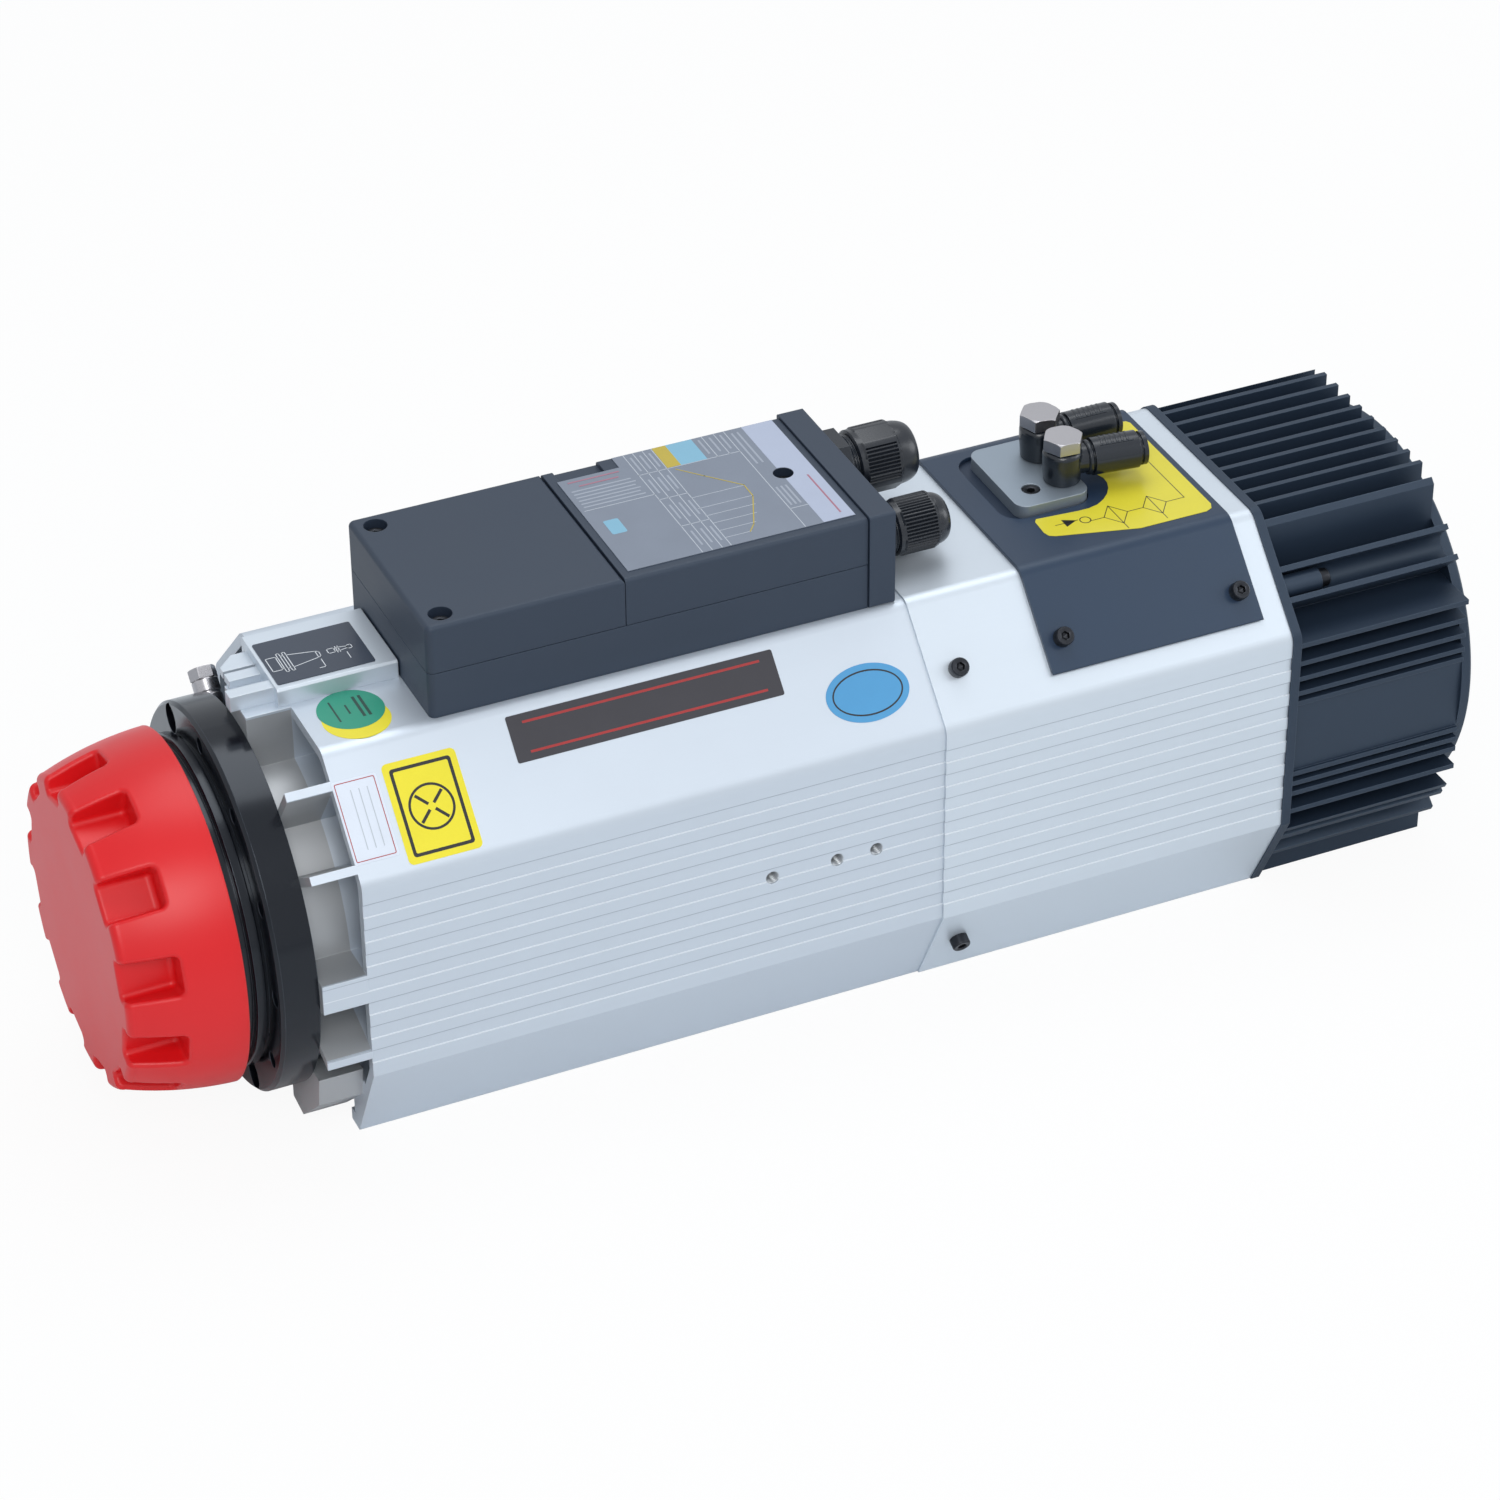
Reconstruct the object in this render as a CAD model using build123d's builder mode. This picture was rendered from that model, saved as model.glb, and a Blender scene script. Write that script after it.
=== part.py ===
"""Air-cooled tool-change motor spindle.

The nose points along -X and the spindle axis runs along X. The origin lies on the
mounting face, on the centre line and half way along the front housing. Millimetres, +Z up.
"""
from math import atan2, cos, degrees, hypot, radians, sin, tan
import os

from build123d import *

os.makedirs("parts", exist_ok=True)

# Housing section, seen along the spindle
body_width = 150.0
body_height = 155.0
top_flat = 81.6
side_top = 120.4
side_bottom = 38.2
bottom_width = 110.8
corner_radius = 7.0
axis_height = 75.5
skin = 4.0
tube_bore = 53.0
tube_wall = 6.0
web = 3.2
wide_web = 12.0
wide_web_angle = 1.0
corner_web = 10.0
front_top_rib = 22.0
rear_top_rib = 58.0
channel_floor = 28.0
rear_floor_width = 90.0
rear_proud = 0.8
pocket_foot = ((33.0, 5.0), (43.0, 3.6), (62.0, 21.5), (64.0, 34.0), (52.0, 34.0), (33.0, 20.0))

# Lengths along the spindle
front_length = 237.5
pocket_length = 16.5
rear_length = 140.5
rim_thickness = 3.5
fan_length = 71.5
disc_thickness = 4.5
plenum_length = 16.0
plenum_radius = 68.0

# Side grooves, tapped holes, T-slots and the wire passage of the front housing
groove_count = 7
groove_first = 47.1
groove_pitch = 10.45
groove_width = 5.2
groove_depth = 0.4
side_hole_radius = 2.5
side_hole_depth = 12.0
side_hole_height = 77.0
side_hole_offsets = (67.7, 42.3, 26.8)
slot_offset = 43.0
slot_mouth = 10.0
slot_head = 17.0
slot_lip = 5.0
slot_depth = 12.5
wire_passage_radius = 5.0
wire_passage_offset = 39.0

# Nose flange, collar and protective cap
flange_radius = 71.5
flange_thickness = 14.0
flange_edge = 1.2
spigot_length = 8.0
flange_bore = 36.0
flange_circle = 65.2
flange_hole_count = 12
large_hole_radius = 5.5
large_hole_angles = (60.0, 240.0)
small_hole_radius = 3.0
small_hole_depth = 10.0
flange_screw_count = 8
flange_screw_head = 3.5
flange_screw_shank = 2.0
flange_screw_length = 10.0
flange_screw_recess = 5.0
flange_screw_sink = 1.0
collar_step_radius = 61.0
collar_step_length = 5.5
collar_groove_radius = 59.0
collar_groove_length = 1.5
collar_radius = 58.0
collar_length = 14.5
collar_bore = 44.0
collar_edge = 0.5
cap_length = 41.0
cap_overlap = 5.0
cap_rear_radius = 65.0
cap_front_radius = 57.5
cap_edge = 3.0
cap_notch_count = 12
cap_notch_phase = 15.0
cap_notch_width = 14.5
cap_notch_length = 20.0
cap_notch_floor = 50.5
cap_notch_root = 2.0
cap_notch_lip = 1.5
cap_wall = 4.0
cap_crown = 2.4
cap_crown_place = 0.52

# Spindle shaft and its 7:24 tool taper
nose_radius = 35.0
nose_reach = 35.5
taper_radius = 15.875
taper_depth = 46.0
taper_ratio = 7.0 / 48.0
chamber_radius = 12.0
chamber_length = 41.0
chamber_wall = 5.0
drawbar_radius = 5.8
spring_bore = 14.0
shaft_radius = 25.0
shaft_tail_radius = 20.0
shaft_shoulder = 29.0
shaft_tail_length = 8.0
nose_edge = 1.0
key_width = 15.9
key_height = 7.0
key_inner = 17.0
key_depth = 4.0
flinger_radius = 43.0

# Bearings
front_bearing_width = 16.0
front_bearing_outer = 40.0
bearing_gap = 8.0
bearing_race = 3.8
ball_radius = 4.2
ball_count = 12
front_bearing_offset = 10.5
rear_bearing_width = 15.0
rear_bearing_outer = 35.0
rear_bearing_offset = 16.0
carrier_wall_front = 4.0
carrier_wall_rear = 6.0
lock_nut_radius = 32.0
lock_nut_length = 10.0

# Motor
motor_offset = 45.0
core_length = 115.0
stator_bore = 38.0
rotor_radius = 37.3
rotor_end_length = 12.0
rotor_end_step = 1.0
rotor_end_depth = 8.0
slot_count = 24
slot_width = 4.6
slot_inner = 40.0
slot_reach = 47.0
coil_end_length = 20.0
coil_inner = 39.5
coil_outer = 50.0

# Drawbar, gripper and disc springs
gripper_length = 24.0
gripper_bore = 6.6
gripper_slots = 6
gripper_slot_width = 1.6
disc_spring_count = 16
disc_spring_outer = 13.7
disc_spring_inner = 6.1
disc_spring_thickness = 1.6
disc_spring_cone = 0.9
disc_spring_gap = 0.02
thrust_collar_length = 8.0
drawbar_tail = 20.0
target_radius = 10.0
target_length = 6.0
tail_radius = 8.0

# Release cylinder and sensors
cylinder_offset = 22.0
cylinder_front_wall = 8.0
cylinder_stroke_room = 65.0
cylinder_bore = 46.0
cover_length = 10.0
piston_gap = 0.5
piston_rod = 12.0
piston_rear_rod = 8.0
piston_rod_inset = 1.0
piston_length = 16.0
piston_offset = 60.0
release_stroke = 8.0
seal_depth = 2.0
seal_width = 3.0
bracket_offset = 11.0
bracket_length = 9.0
bracket_bore = 40.0
sensor_radius = 3.0
sensor_spread = 24.0
sensor_sink = 1.0

# Fan end
rim_grow = 1.4
rim_bore = 60.0
fan_core = 67.0
fan_bore = 60.0
fin_thickness = 2.0
top_fin_pitch = 8.85
top_fins_each_side = 5
side_fin_heights = (116.0, 108.2, 101.4, 95.0, 54.5, 50.0, 42.0, 30.5)
panel_top = 91.6
panel_bottom = 57.9
panel_depth = 1.2
panel_border = 2.0
bottom_fins_each_side = 6
tie_marks = ((28.7, 4.9, False), (18.8, 5.75, True))
tie_rib = 14.0
tie_groove = 4.85
tie_boss = 4.3
tie_boss_length = 16.0
tie_screw_head = 3.5
tie_screw_head_length = 4.0
tie_screw_shank = 2.0
tie_screw_length = 12.0
disc_grow = 0.3
disc_edge = 1.0
grille_rings = 5
grille_first = 16.0
grille_pitch = 8.4
grille_slot = 5.6
grille_spoke = 5.0
grille_spokes = 4
grille_screw_circle = 63.5
grille_screw_head = 2.8
grille_screw_head_length = 2.0
grille_screw_shank = 1.5
grille_screw_length = 12.0
fan_depth = 25.0
fan_frame_wall = 3.0
fan_motor_radius = 22.0
fan_strut = 5.0
fan_strut_depth = 4.0
fan_strut_root = 1.0
fan_hub_radius = 25.0
fan_hub_inset = 1.0
fan_hub_web = 2.0
fan_blade_tip = 54.0
fan_blade_count = 7
fan_blade_chord = 17.0
fan_blade_pitch = 35.0
fan_blade_root = 1.5
fan_blade_edge = 0.9
fan_shaft_radius = 3.0
fan_shaft_inset = 4.0

# Terminal box on top of the front housing
box_front_offset = 180.0
box_split_offset = 106.5
box_rear_offset = 13.7
box_width = 77.0
box_seam = 18.0
box_height = 37.0
box_wall = 3.0
box_gap = 0.3
box_corner = 2.5
box_edge = 1.8
end_plate_thickness = 10.0
end_plate_grow = 0.9
end_plate_edge = 1.2
lid_screw_head = 3.6
lid_screw_head_length = 3.0
lid_screw_shank = 2.0
lid_screw_length = 22.0
lid_recess_radius = 4.3
lid_recess = 6.0
lid_boss = 6.5
lid_boss_inset = 1.0
base_boss = 5.5
front_lid_screw_offset = 172.0
front_lid_screw_y = 31.0
rear_lid_screw_offset = 28.0
rear_lid_screw_y = 2.0
notch_from = 102.3
notch_to = 85.0
notch_y = 30.3
notch_depth = 2.0
block_length = 84.0
block_width = 22.0
block_height = 11.0
block_poles = 7
block_centre_offset = 60.0
block_y = 21.5
block_base_width = 16.0
block_rib = 2.0

# Cable glands on the end plate
gland_centres = ((19.0, 23.0), (-14.5, 14.1))
gland_neck_radii = (10.4, 8.6)
gland_hex_flats = (24.0, 19.0)
gland_nut_radii = (12.8, 10.6)
gland_seal_bores = (7.0, 4.5)
gland_hex_length = 6.5
gland_neck_end = 17.0
gland_nut_start = 9.5
gland_nut_length = 17.0
gland_dome_lengths = (7.0, 4.5)
gland_tail = 8.0
gland_wall = 1.6
gland_step = 0.6
gland_dome_along = 0.72
gland_dome_out = 0.62
gland_flat_ratio = 0.955
gland_sink = 2.0

# Air connections on the rear housing
cover_from = 45.0
cover_to = 131.0
cover_thickness = 1.5
cover_drop = 37.0
cover_screw_offsets = (52.6, 124.3)
cover_screw_down = 27.0
housing_screw_offset = 11.0
housing_screw_down = 28.0
housing_screw_low = 20.4
small_screw_head = 3.5
small_screw_head_length = 4.0
small_screw_shank = 2.0
small_screw_length = 9.0
port_plate_length = 29.5
port_plate_width = 43.5
port_plate_height = 5.2
port_plate_radius = 5.0
port_plate_offset = 75.5
port_plate_y = 10.8
port_window_front = 5.2
port_window_rear = 1.2
port_window_near = 1.2
port_window_far = 2.0
port_window_radius = 8.0
banjo_offset = 84.3
banjo_y = (1.5, 20.1)
banjo_shank = 4.0
banjo_head_flats = 12.0
banjo_head_height = 4.8
banjo_air_radius = 2.5
elbow_height = 13.0
elbow_radius = 7.5
elbow_foot_radius = 6.9
elbow_reach = 28.6
elbow_tube_radius = 7.0
elbow_neck_radius = 5.6
elbow_neck_end = 11.0
elbow_rise = 0.4
elbow_flare = 0.6
elbow_shoulder = 2.2
banjo_turn = 8.0
elbow_turns = (-7.0, 0.0)
tube_socket_radius = 4.05
tube_socket_depth = 15.0
release_sleeve_radius = 5.4
release_sleeve_length = 4.0
release_lip_radius = 6.3
release_lip = 1.6
release_travel = 1.2
plate_screw_offset = 70.7
plate_screw_y = -0.3
plate_screw_sink = 0.3

# Sensor block and air plug at the nose
sensor_block_from = 225.0
sensor_block_to = 180.6
sensor_block_near = -9.5
sensor_block_far = 28.0
sensor_block_height = 7.0
sensor_block_edge = 0.8
sensor_strip_from = 241.0
sensor_strip_near = -5.5
sensor_strip_far = -0.5
sensor_strip_height = 6.0
sensor_bar_from = 236.5
sensor_bars = ((8.5, 13.7), (15.2, 24.0))
sensor_bar_height = 3.0
sensor_bar_corner = 6.0
plug_angle = 45.0
plug_offset = 5.7
plug_collar_radius = 4.9
plug_collar_top = 76.5
plug_hex_flats = 9.0
plug_hex_height = 4.3
plug_stem = 3.4
plug_depth = 4.0

# Clearances
seat = 0.05
running = 0.3
ball_play = 0.05
piston_fit = 0.04
end_play = 0.5
sensor_tip = piston_rod + running

# Stations along X, from the nose to the tail
front_x = -front_length / 2
skin_x = front_x + pocket_length
joint_x = front_length / 2
rim_x = joint_x + rear_length
fan_x = rim_x + rim_thickness
disc_x = fan_x + fan_length
tail_x = disc_x + disc_thickness
flange_x = front_x - flange_thickness
collar_x = flange_x - collar_length
cap_rear_x = collar_x + cap_overlap
cap_front_x = cap_rear_x - cap_length
nose_x = flange_x - nose_reach
taper_end_x = nose_x + taper_depth
chamber_end_x = taper_end_x + chamber_length
spring_x = chamber_end_x + chamber_wall
spring_pitch = disc_spring_thickness + disc_spring_cone + disc_spring_gap
thrust_x = spring_x + disc_spring_count * spring_pitch + 0.3
bearing_one_x = front_x + front_bearing_offset
bearing_two_x = bearing_one_x + front_bearing_width + bearing_gap
bearing_end_x = bearing_two_x + front_bearing_width
rear_bearing_x = joint_x - rear_bearing_offset
core_end_x = joint_x - motor_offset
core_x = core_end_x - core_length
shaft_end_x = joint_x + shaft_tail_length
drawbar_end_x = joint_x + drawbar_tail
cylinder_x = joint_x + cylinder_offset
cylinder_bore_x = cylinder_x + cylinder_front_wall
cover_x = cylinder_bore_x + cylinder_stroke_room
piston_x = joint_x + piston_offset
fan_frame_x = disc_x - fan_depth
spindle_axis = Axis((0, 0, axis_height), (1, 0, 0))
tube_outer = tube_bore + tube_wall
flange_screw_circle = tube_bore + tube_wall / 2
pocket_webs = ((wide_web_angle, wide_web), (-20.0, web))
near_webs = ((180.0 - 55.0, web), (180.0 - 35.0, web))


def axis_plane(x):
    """Plane across the spindle at x, centred on its axis: local x is Y, local y is Z."""
    return Plane(origin=(x, 0, axis_height), x_dir=(0, 1, 0), z_dir=(1, 0, 0))


def floor_plane(height):
    """Level plane at a height: local x is X, local y is Y."""
    return Plane.XY.offset(height)


def outline(grow=0.0, mode=Mode.ADD):
    """Octagonal housing outline about the spindle axis; the bottom stays on the mounting face."""
    upper_slope = atan2(body_height - side_top, (body_width - top_flat) / 2)
    lower_slope = atan2((body_width - bottom_width) / 2, side_bottom)
    half = body_width / 2 + grow
    flat = top_flat / 2 + grow * tan(upper_slope / 2)
    high = body_height - axis_height + grow
    shoulder = side_top - axis_height + grow * tan(radians(45.0) - upper_slope / 2)
    waist = side_bottom - axis_height - grow * tan(lower_slope / 2)
    foot = bottom_width / 2 + grow / cos(lower_slope)
    bottom = -axis_height
    with BuildLine() as path:
        Polyline(
            (-foot, bottom), (foot, bottom), (half, waist), (half, shoulder), (flat, high),
            (-flat, high), (-half, shoulder), (-half, waist), (-foot, bottom),
        )
    make_face(path.edges(), mode=mode)
    if mode == Mode.ADD:
        fillet(vertices().sort_by(Axis.Y)[-4:], corner_radius)


def radial_web(angle, width, mode=Mode.ADD):
    """Web that stands out from the axis at an angle from the far side."""
    with PolarLocations(0, 1, start_angle=angle):
        Rectangle(body_width, width, align=(Align.MIN, Align.CENTER), mode=mode)


def radial_webs(webs, mode=Mode.ADD):
    """Webs that are the same on both sides; angles are above level."""
    for angle, width in webs:
        radial_web(angle, width, mode)
        radial_web(180.0 - angle, width, mode)


def ring(x_from, x_to, outer, inner=0.0, mode=Mode.ADD):
    """Ring or disc on the spindle axis, added to the part that is open."""
    with BuildSketch(axis_plane(x_from)) as profile:
        Circle(outer)
        if inner > 0:
            Circle(inner, mode=Mode.SUBTRACT)
    extrude(profile.sketch, amount=x_to - x_from, mode=mode)


def turned(points, mode=Mode.ADD):
    """Revolves a closed outline of (x, radius) points about the spindle axis."""
    with BuildSketch(Plane.XZ) as profile:
        with BuildLine() as path:
            Polyline(*[(x, axis_height + r) for x, r in points], close=True)
        make_face(path.edges())
    revolve(profile.sketch, axis=spindle_axis, mode=mode)


def screw(plane, head, head_length, shank, length):
    """Cap screw whose head sits on the plane and whose shank goes in behind it."""
    with BuildSketch(plane) as profile:
        Circle(head)
    extrude(profile.sketch, amount=head_length)
    with BuildSketch(plane) as profile:
        Circle(shank)
    extrude(profile.sketch, amount=-length)


def drill(plane, radius, depth):
    """Round hole that goes in behind the plane."""
    with BuildSketch(plane) as profile:
        Circle(radius)
    extrude(profile.sketch, amount=-depth, mode=Mode.SUBTRACT)


def polar_plane(x, radius, angle):
    """Plane facing the nose at a radius and an angle about the spindle axis."""
    y = radius * cos(radians(angle))
    z = axis_height + radius * sin(radians(angle))
    return Plane(origin=(x, y, z), x_dir=(0, 1, 0), z_dir=(-1, 0, 0))


def rear_plane(x, radius, angle):
    """Plane facing the tail at a radius and an angle about the spindle axis."""
    y = radius * cos(radians(angle))
    z = axis_height + radius * sin(radians(angle))
    return Plane(origin=(x, y, z), x_dir=(0, 1, 0), z_dir=(1, 0, 0))


def radial_plane(x, radius, angle):
    """Plane facing away from the spindle axis at a radius and an angle about it."""
    outward = Vector(0, cos(radians(angle)), sin(radians(angle)))
    centre = Vector(x, 0, axis_height) + outward * radius
    return Plane(origin=centre, x_dir=(1, 0, 0), z_dir=outward)


def slope_plane(x, down, side, lower=False, lift=0.0):
    """Plane on a chamfer of the housing, a distance down it; side is 1 or -1."""
    if lower:
        start = (body_width / 2, side_bottom)
        end = (bottom_width / 2, 0.0)
    else:
        start = (top_flat / 2, body_height)
        end = (body_width / 2, side_top)
    run = hypot(end[0] - start[0], end[1] - start[1])
    step_y = (end[0] - start[0]) / run
    step_z = (end[1] - start[1]) / run
    y = start[0] + step_y * down - step_z * lift
    z = start[1] + step_z * down + step_y * lift
    return Plane(origin=(x, side * y, z), x_dir=(1, 0, 0), z_dir=(0, -side * step_z, step_y))


def save(piece, label):
    """Names a finished piece and writes it."""
    piece.part.label = label
    export_step(piece.part, f"parts/{label}.step")


# Places that several pieces share
housing_screw_planes = [
    slope_plane(joint_x + housing_screw_offset, down, side, lower, rear_proud)
    for side in (1, -1)
    for down, lower in ((housing_screw_down, False), (housing_screw_low, True))
]
cover_lift = rear_proud + cover_thickness
cover_screw_planes = [
    slope_plane(joint_x + offset, cover_screw_down, side, False, cover_lift)
    for side in (1, -1)
    for offset in cover_screw_offsets
]
tie_points = [
    slope_plane(rim_x, down, side, lower, -inset).origin
    for down, inset, lower in tie_marks
    for side in (1, -1)
]
tie_places = [
    (hypot(point.Y, point.Z - axis_height), degrees(atan2(point.Z - axis_height, point.Y)))
    for point in tie_points
]
tie_angles = [angle for radius, angle in tie_places[::2]]
rear_webs = (
    (tie_angles[0], corner_web), (wide_web_angle, wide_web), (tie_angles[1], corner_web),
)
small_hole_angles = [
    angle
    for angle in (step * 360.0 / flange_hole_count for step in range(flange_hole_count))
    if angle not in large_hole_angles
]
flange_screw_angles = [
    (step + 0.5) * 360.0 / flange_screw_count for step in range(flange_screw_count)
]
rear_top = body_height + rear_proud
port_top = rear_top + port_plate_height
plug_seat = radial_plane(front_x + plug_offset, tube_outer, plug_angle)


# Front housing: extruded section with air channels, open to the sides at the nose end
with BuildPart() as front_housing:
    with BuildSketch(axis_plane(skin_x)):
        outline()
        Circle(tube_bore, mode=Mode.SUBTRACT)
        for step in range(groove_count):
            groove_z = groove_first + step * groove_pitch - axis_height
            with Locations((-body_width / 2, groove_z), (body_width / 2, groove_z)):
                Rectangle(2 * groove_depth, groove_width, mode=Mode.SUBTRACT)
        for side in (1, -1):
            with Locations((side * slot_offset, -axis_height)):
                Rectangle(
                    slot_mouth, 2 * slot_depth, mode=Mode.SUBTRACT,
                )
            with Locations((side * slot_offset, -axis_height + slot_lip)):
                Rectangle(
                    slot_head, slot_depth - slot_lip,
                    align=(Align.CENTER, Align.MIN), mode=Mode.SUBTRACT,
                )
    extrude(amount=joint_x - skin_x)
    with BuildSketch(axis_plane(skin_x)):
        outline(-skin)
        Circle(tube_outer, mode=Mode.SUBTRACT)
        radial_webs(pocket_webs, Mode.SUBTRACT)
        for angle, width in near_webs:
            radial_web(angle, width, Mode.SUBTRACT)
        Rectangle(
            front_top_rib, body_height, align=(Align.CENTER, Align.MIN), mode=Mode.SUBTRACT,
        )
        with Locations((0, channel_floor - axis_height)):
            Rectangle(
                body_width, body_height, align=(Align.CENTER, Align.MAX), mode=Mode.SUBTRACT,
            )
    extrude(amount=joint_x - skin_x, mode=Mode.SUBTRACT)
    with BuildSketch(axis_plane(front_x)):
        Circle(tube_outer)
        radial_webs(pocket_webs)
        for angle, width in near_webs:
            radial_web(angle, width)
        Rectangle(front_top_rib, body_height, align=(Align.CENTER, Align.MIN))
        for side in (1, -1):
            with BuildLine():
                Polyline(*[(side * y, z - axis_height) for y, z in pocket_foot], close=True)
            make_face()
        outline(mode=Mode.INTERSECT)
        Circle(tube_bore, mode=Mode.SUBTRACT)
    extrude(amount=pocket_length)
    side_plane = Plane(
        origin=(joint_x, -body_width / 2, side_hole_height), x_dir=(1, 0, 0), z_dir=(0, -1, 0)
    )
    with BuildSketch(side_plane):
        with Locations(*[(-offset, 0) for offset in side_hole_offsets]):
            Circle(side_hole_radius)
    extrude(amount=-side_hole_depth, mode=Mode.SUBTRACT)
    with BuildSketch(floor_plane(body_height)):
        with Locations((joint_x - wire_passage_offset, 0)):
            Circle(wire_passage_radius)
    extrude(amount=-(body_height - axis_height), mode=Mode.SUBTRACT)
    for angle in flange_screw_angles:
        drill(
            polar_plane(front_x, flange_screw_circle, angle),
            flange_screw_shank + seat, flange_screw_length,
        )
    drill(plug_seat, plug_stem + seat, plug_depth)
save(front_housing, "front_housing")

# Rear housing: the same section, a little proud, with a plenum where the fan blows in
with BuildPart() as rear_housing:
    with BuildSketch(axis_plane(joint_x)):
        outline(rear_proud)
        Circle(tube_bore, mode=Mode.SUBTRACT)
        for step in range(groove_count):
            groove_z = groove_first + step * groove_pitch - axis_height
            groove_y = body_width / 2 + rear_proud
            with Locations((-groove_y, groove_z), (groove_y, groove_z)):
                Rectangle(2 * groove_depth, groove_width, mode=Mode.SUBTRACT)
    extrude(amount=rear_length)
    with BuildSketch(axis_plane(joint_x)):
        outline(rear_proud - skin)
        Circle(tube_outer, mode=Mode.SUBTRACT)
        radial_webs(rear_webs, Mode.SUBTRACT)
        Rectangle(
            rear_top_rib, body_height, align=(Align.CENTER, Align.MIN), mode=Mode.SUBTRACT,
        )
        with Locations((0, channel_floor - axis_height)):
            Rectangle(
                rear_floor_width, body_height, align=(Align.CENTER, Align.MAX),
                mode=Mode.SUBTRACT,
            )
        with Locations((0, skin - axis_height)):
            Rectangle(
                2 * body_width, body_height, align=(Align.CENTER, Align.MAX),
                mode=Mode.SUBTRACT,
            )
    extrude(amount=rear_length, mode=Mode.SUBTRACT)
    ring(rim_x - plenum_length, rim_x, plenum_radius, mode=Mode.SUBTRACT)
    for plane in housing_screw_planes:
        drill(plane, small_screw_shank + seat, small_screw_length + seat)
    for plane in cover_screw_planes:
        drill(plane, small_screw_shank + seat, small_screw_length + seat)
    for radius, angle in tie_places:
        drill(rear_plane(rim_x, radius, angle), tie_screw_shank + seat, tie_screw_length)
    with BuildSketch(floor_plane(rear_top)):
        with Locations(*[(joint_x + banjo_offset, y) for y in banjo_y]):
            Circle(banjo_shank + seat)
        with Locations((joint_x + plate_screw_offset, plate_screw_y)):
            Circle(small_screw_shank + seat)
    extrude(amount=-(small_screw_length + seat), mode=Mode.SUBTRACT)
    with BuildSketch(floor_plane(rear_top)):
        with Locations(*[(joint_x + banjo_offset, y) for y in banjo_y]):
            Circle(banjo_air_radius)
    extrude(amount=-(body_height - axis_height), mode=Mode.SUBTRACT)
save(rear_housing, "rear_housing")

# Nose flange with its ring of holes
with BuildPart() as front_flange:
    turned([
        (flange_x, flange_bore), (flange_x, flange_radius - flange_edge),
        (flange_x + flange_edge, flange_radius), (front_x, flange_radius),
        (front_x, tube_bore - seat), (front_x + spigot_length, tube_bore - seat),
        (front_x + spigot_length, flange_bore),
    ])
    for angle in flange_screw_angles:
        hole = polar_plane(flange_x, flange_screw_circle, angle)
        drill(hole, flange_screw_shank + seat, flange_thickness)
        drill(hole, flange_screw_head + seat, flange_screw_recess)
    for angle in small_hole_angles:
        drill(polar_plane(flange_x, flange_circle, angle), small_hole_radius, small_hole_depth)
    for angle in large_hole_angles:
        drill(polar_plane(flange_x, flange_circle, angle), large_hole_radius, flange_thickness)
save(front_flange, "front_flange")

# Screws that hold the flange
with BuildPart() as flange_screws:
    for angle in flange_screw_angles:
        plane = polar_plane(flange_x + flange_screw_recess, flange_screw_circle, angle)
        screw(
            plane, flange_screw_head, flange_screw_recess - flange_screw_sink,
            flange_screw_shank,
            flange_thickness - flange_screw_recess + flange_screw_length - flange_screw_sink,
        )
save(flange_screws, "flange_screws")

# Stepped collar that the cap fits over
with BuildPart() as nose_collar:
    turned([
        (flange_x, collar_bore), (flange_x, collar_groove_radius),
        (flange_x - collar_groove_length, collar_groove_radius),
        (flange_x - collar_groove_length, collar_step_radius - collar_edge),
        (flange_x - collar_groove_length - collar_edge, collar_step_radius),
        (flange_x - collar_step_length + collar_edge, collar_step_radius),
        (flange_x - collar_step_length, collar_step_radius - collar_edge),
        (flange_x - collar_step_length, collar_radius),
        (collar_x + collar_edge, collar_radius), (collar_x, collar_radius - collar_edge),
        (collar_x, collar_bore),
    ])
save(nose_collar, "nose_collar")

# Air plug in the wall of the housing tube, behind the flange
with BuildPart() as nose_plug:
    plug_reach = plug_collar_top - tube_outer
    screw(
        plug_seat.offset(seat), plug_collar_radius, plug_reach - seat, plug_stem, plug_depth,
    )
    with BuildSketch(plug_seat.offset(plug_reach)):
        RegularPolygon(plug_hex_flats / 2, 6, major_radius=False)
    extrude(amount=plug_hex_height)
save(nose_plug, "nose_plug")

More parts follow.
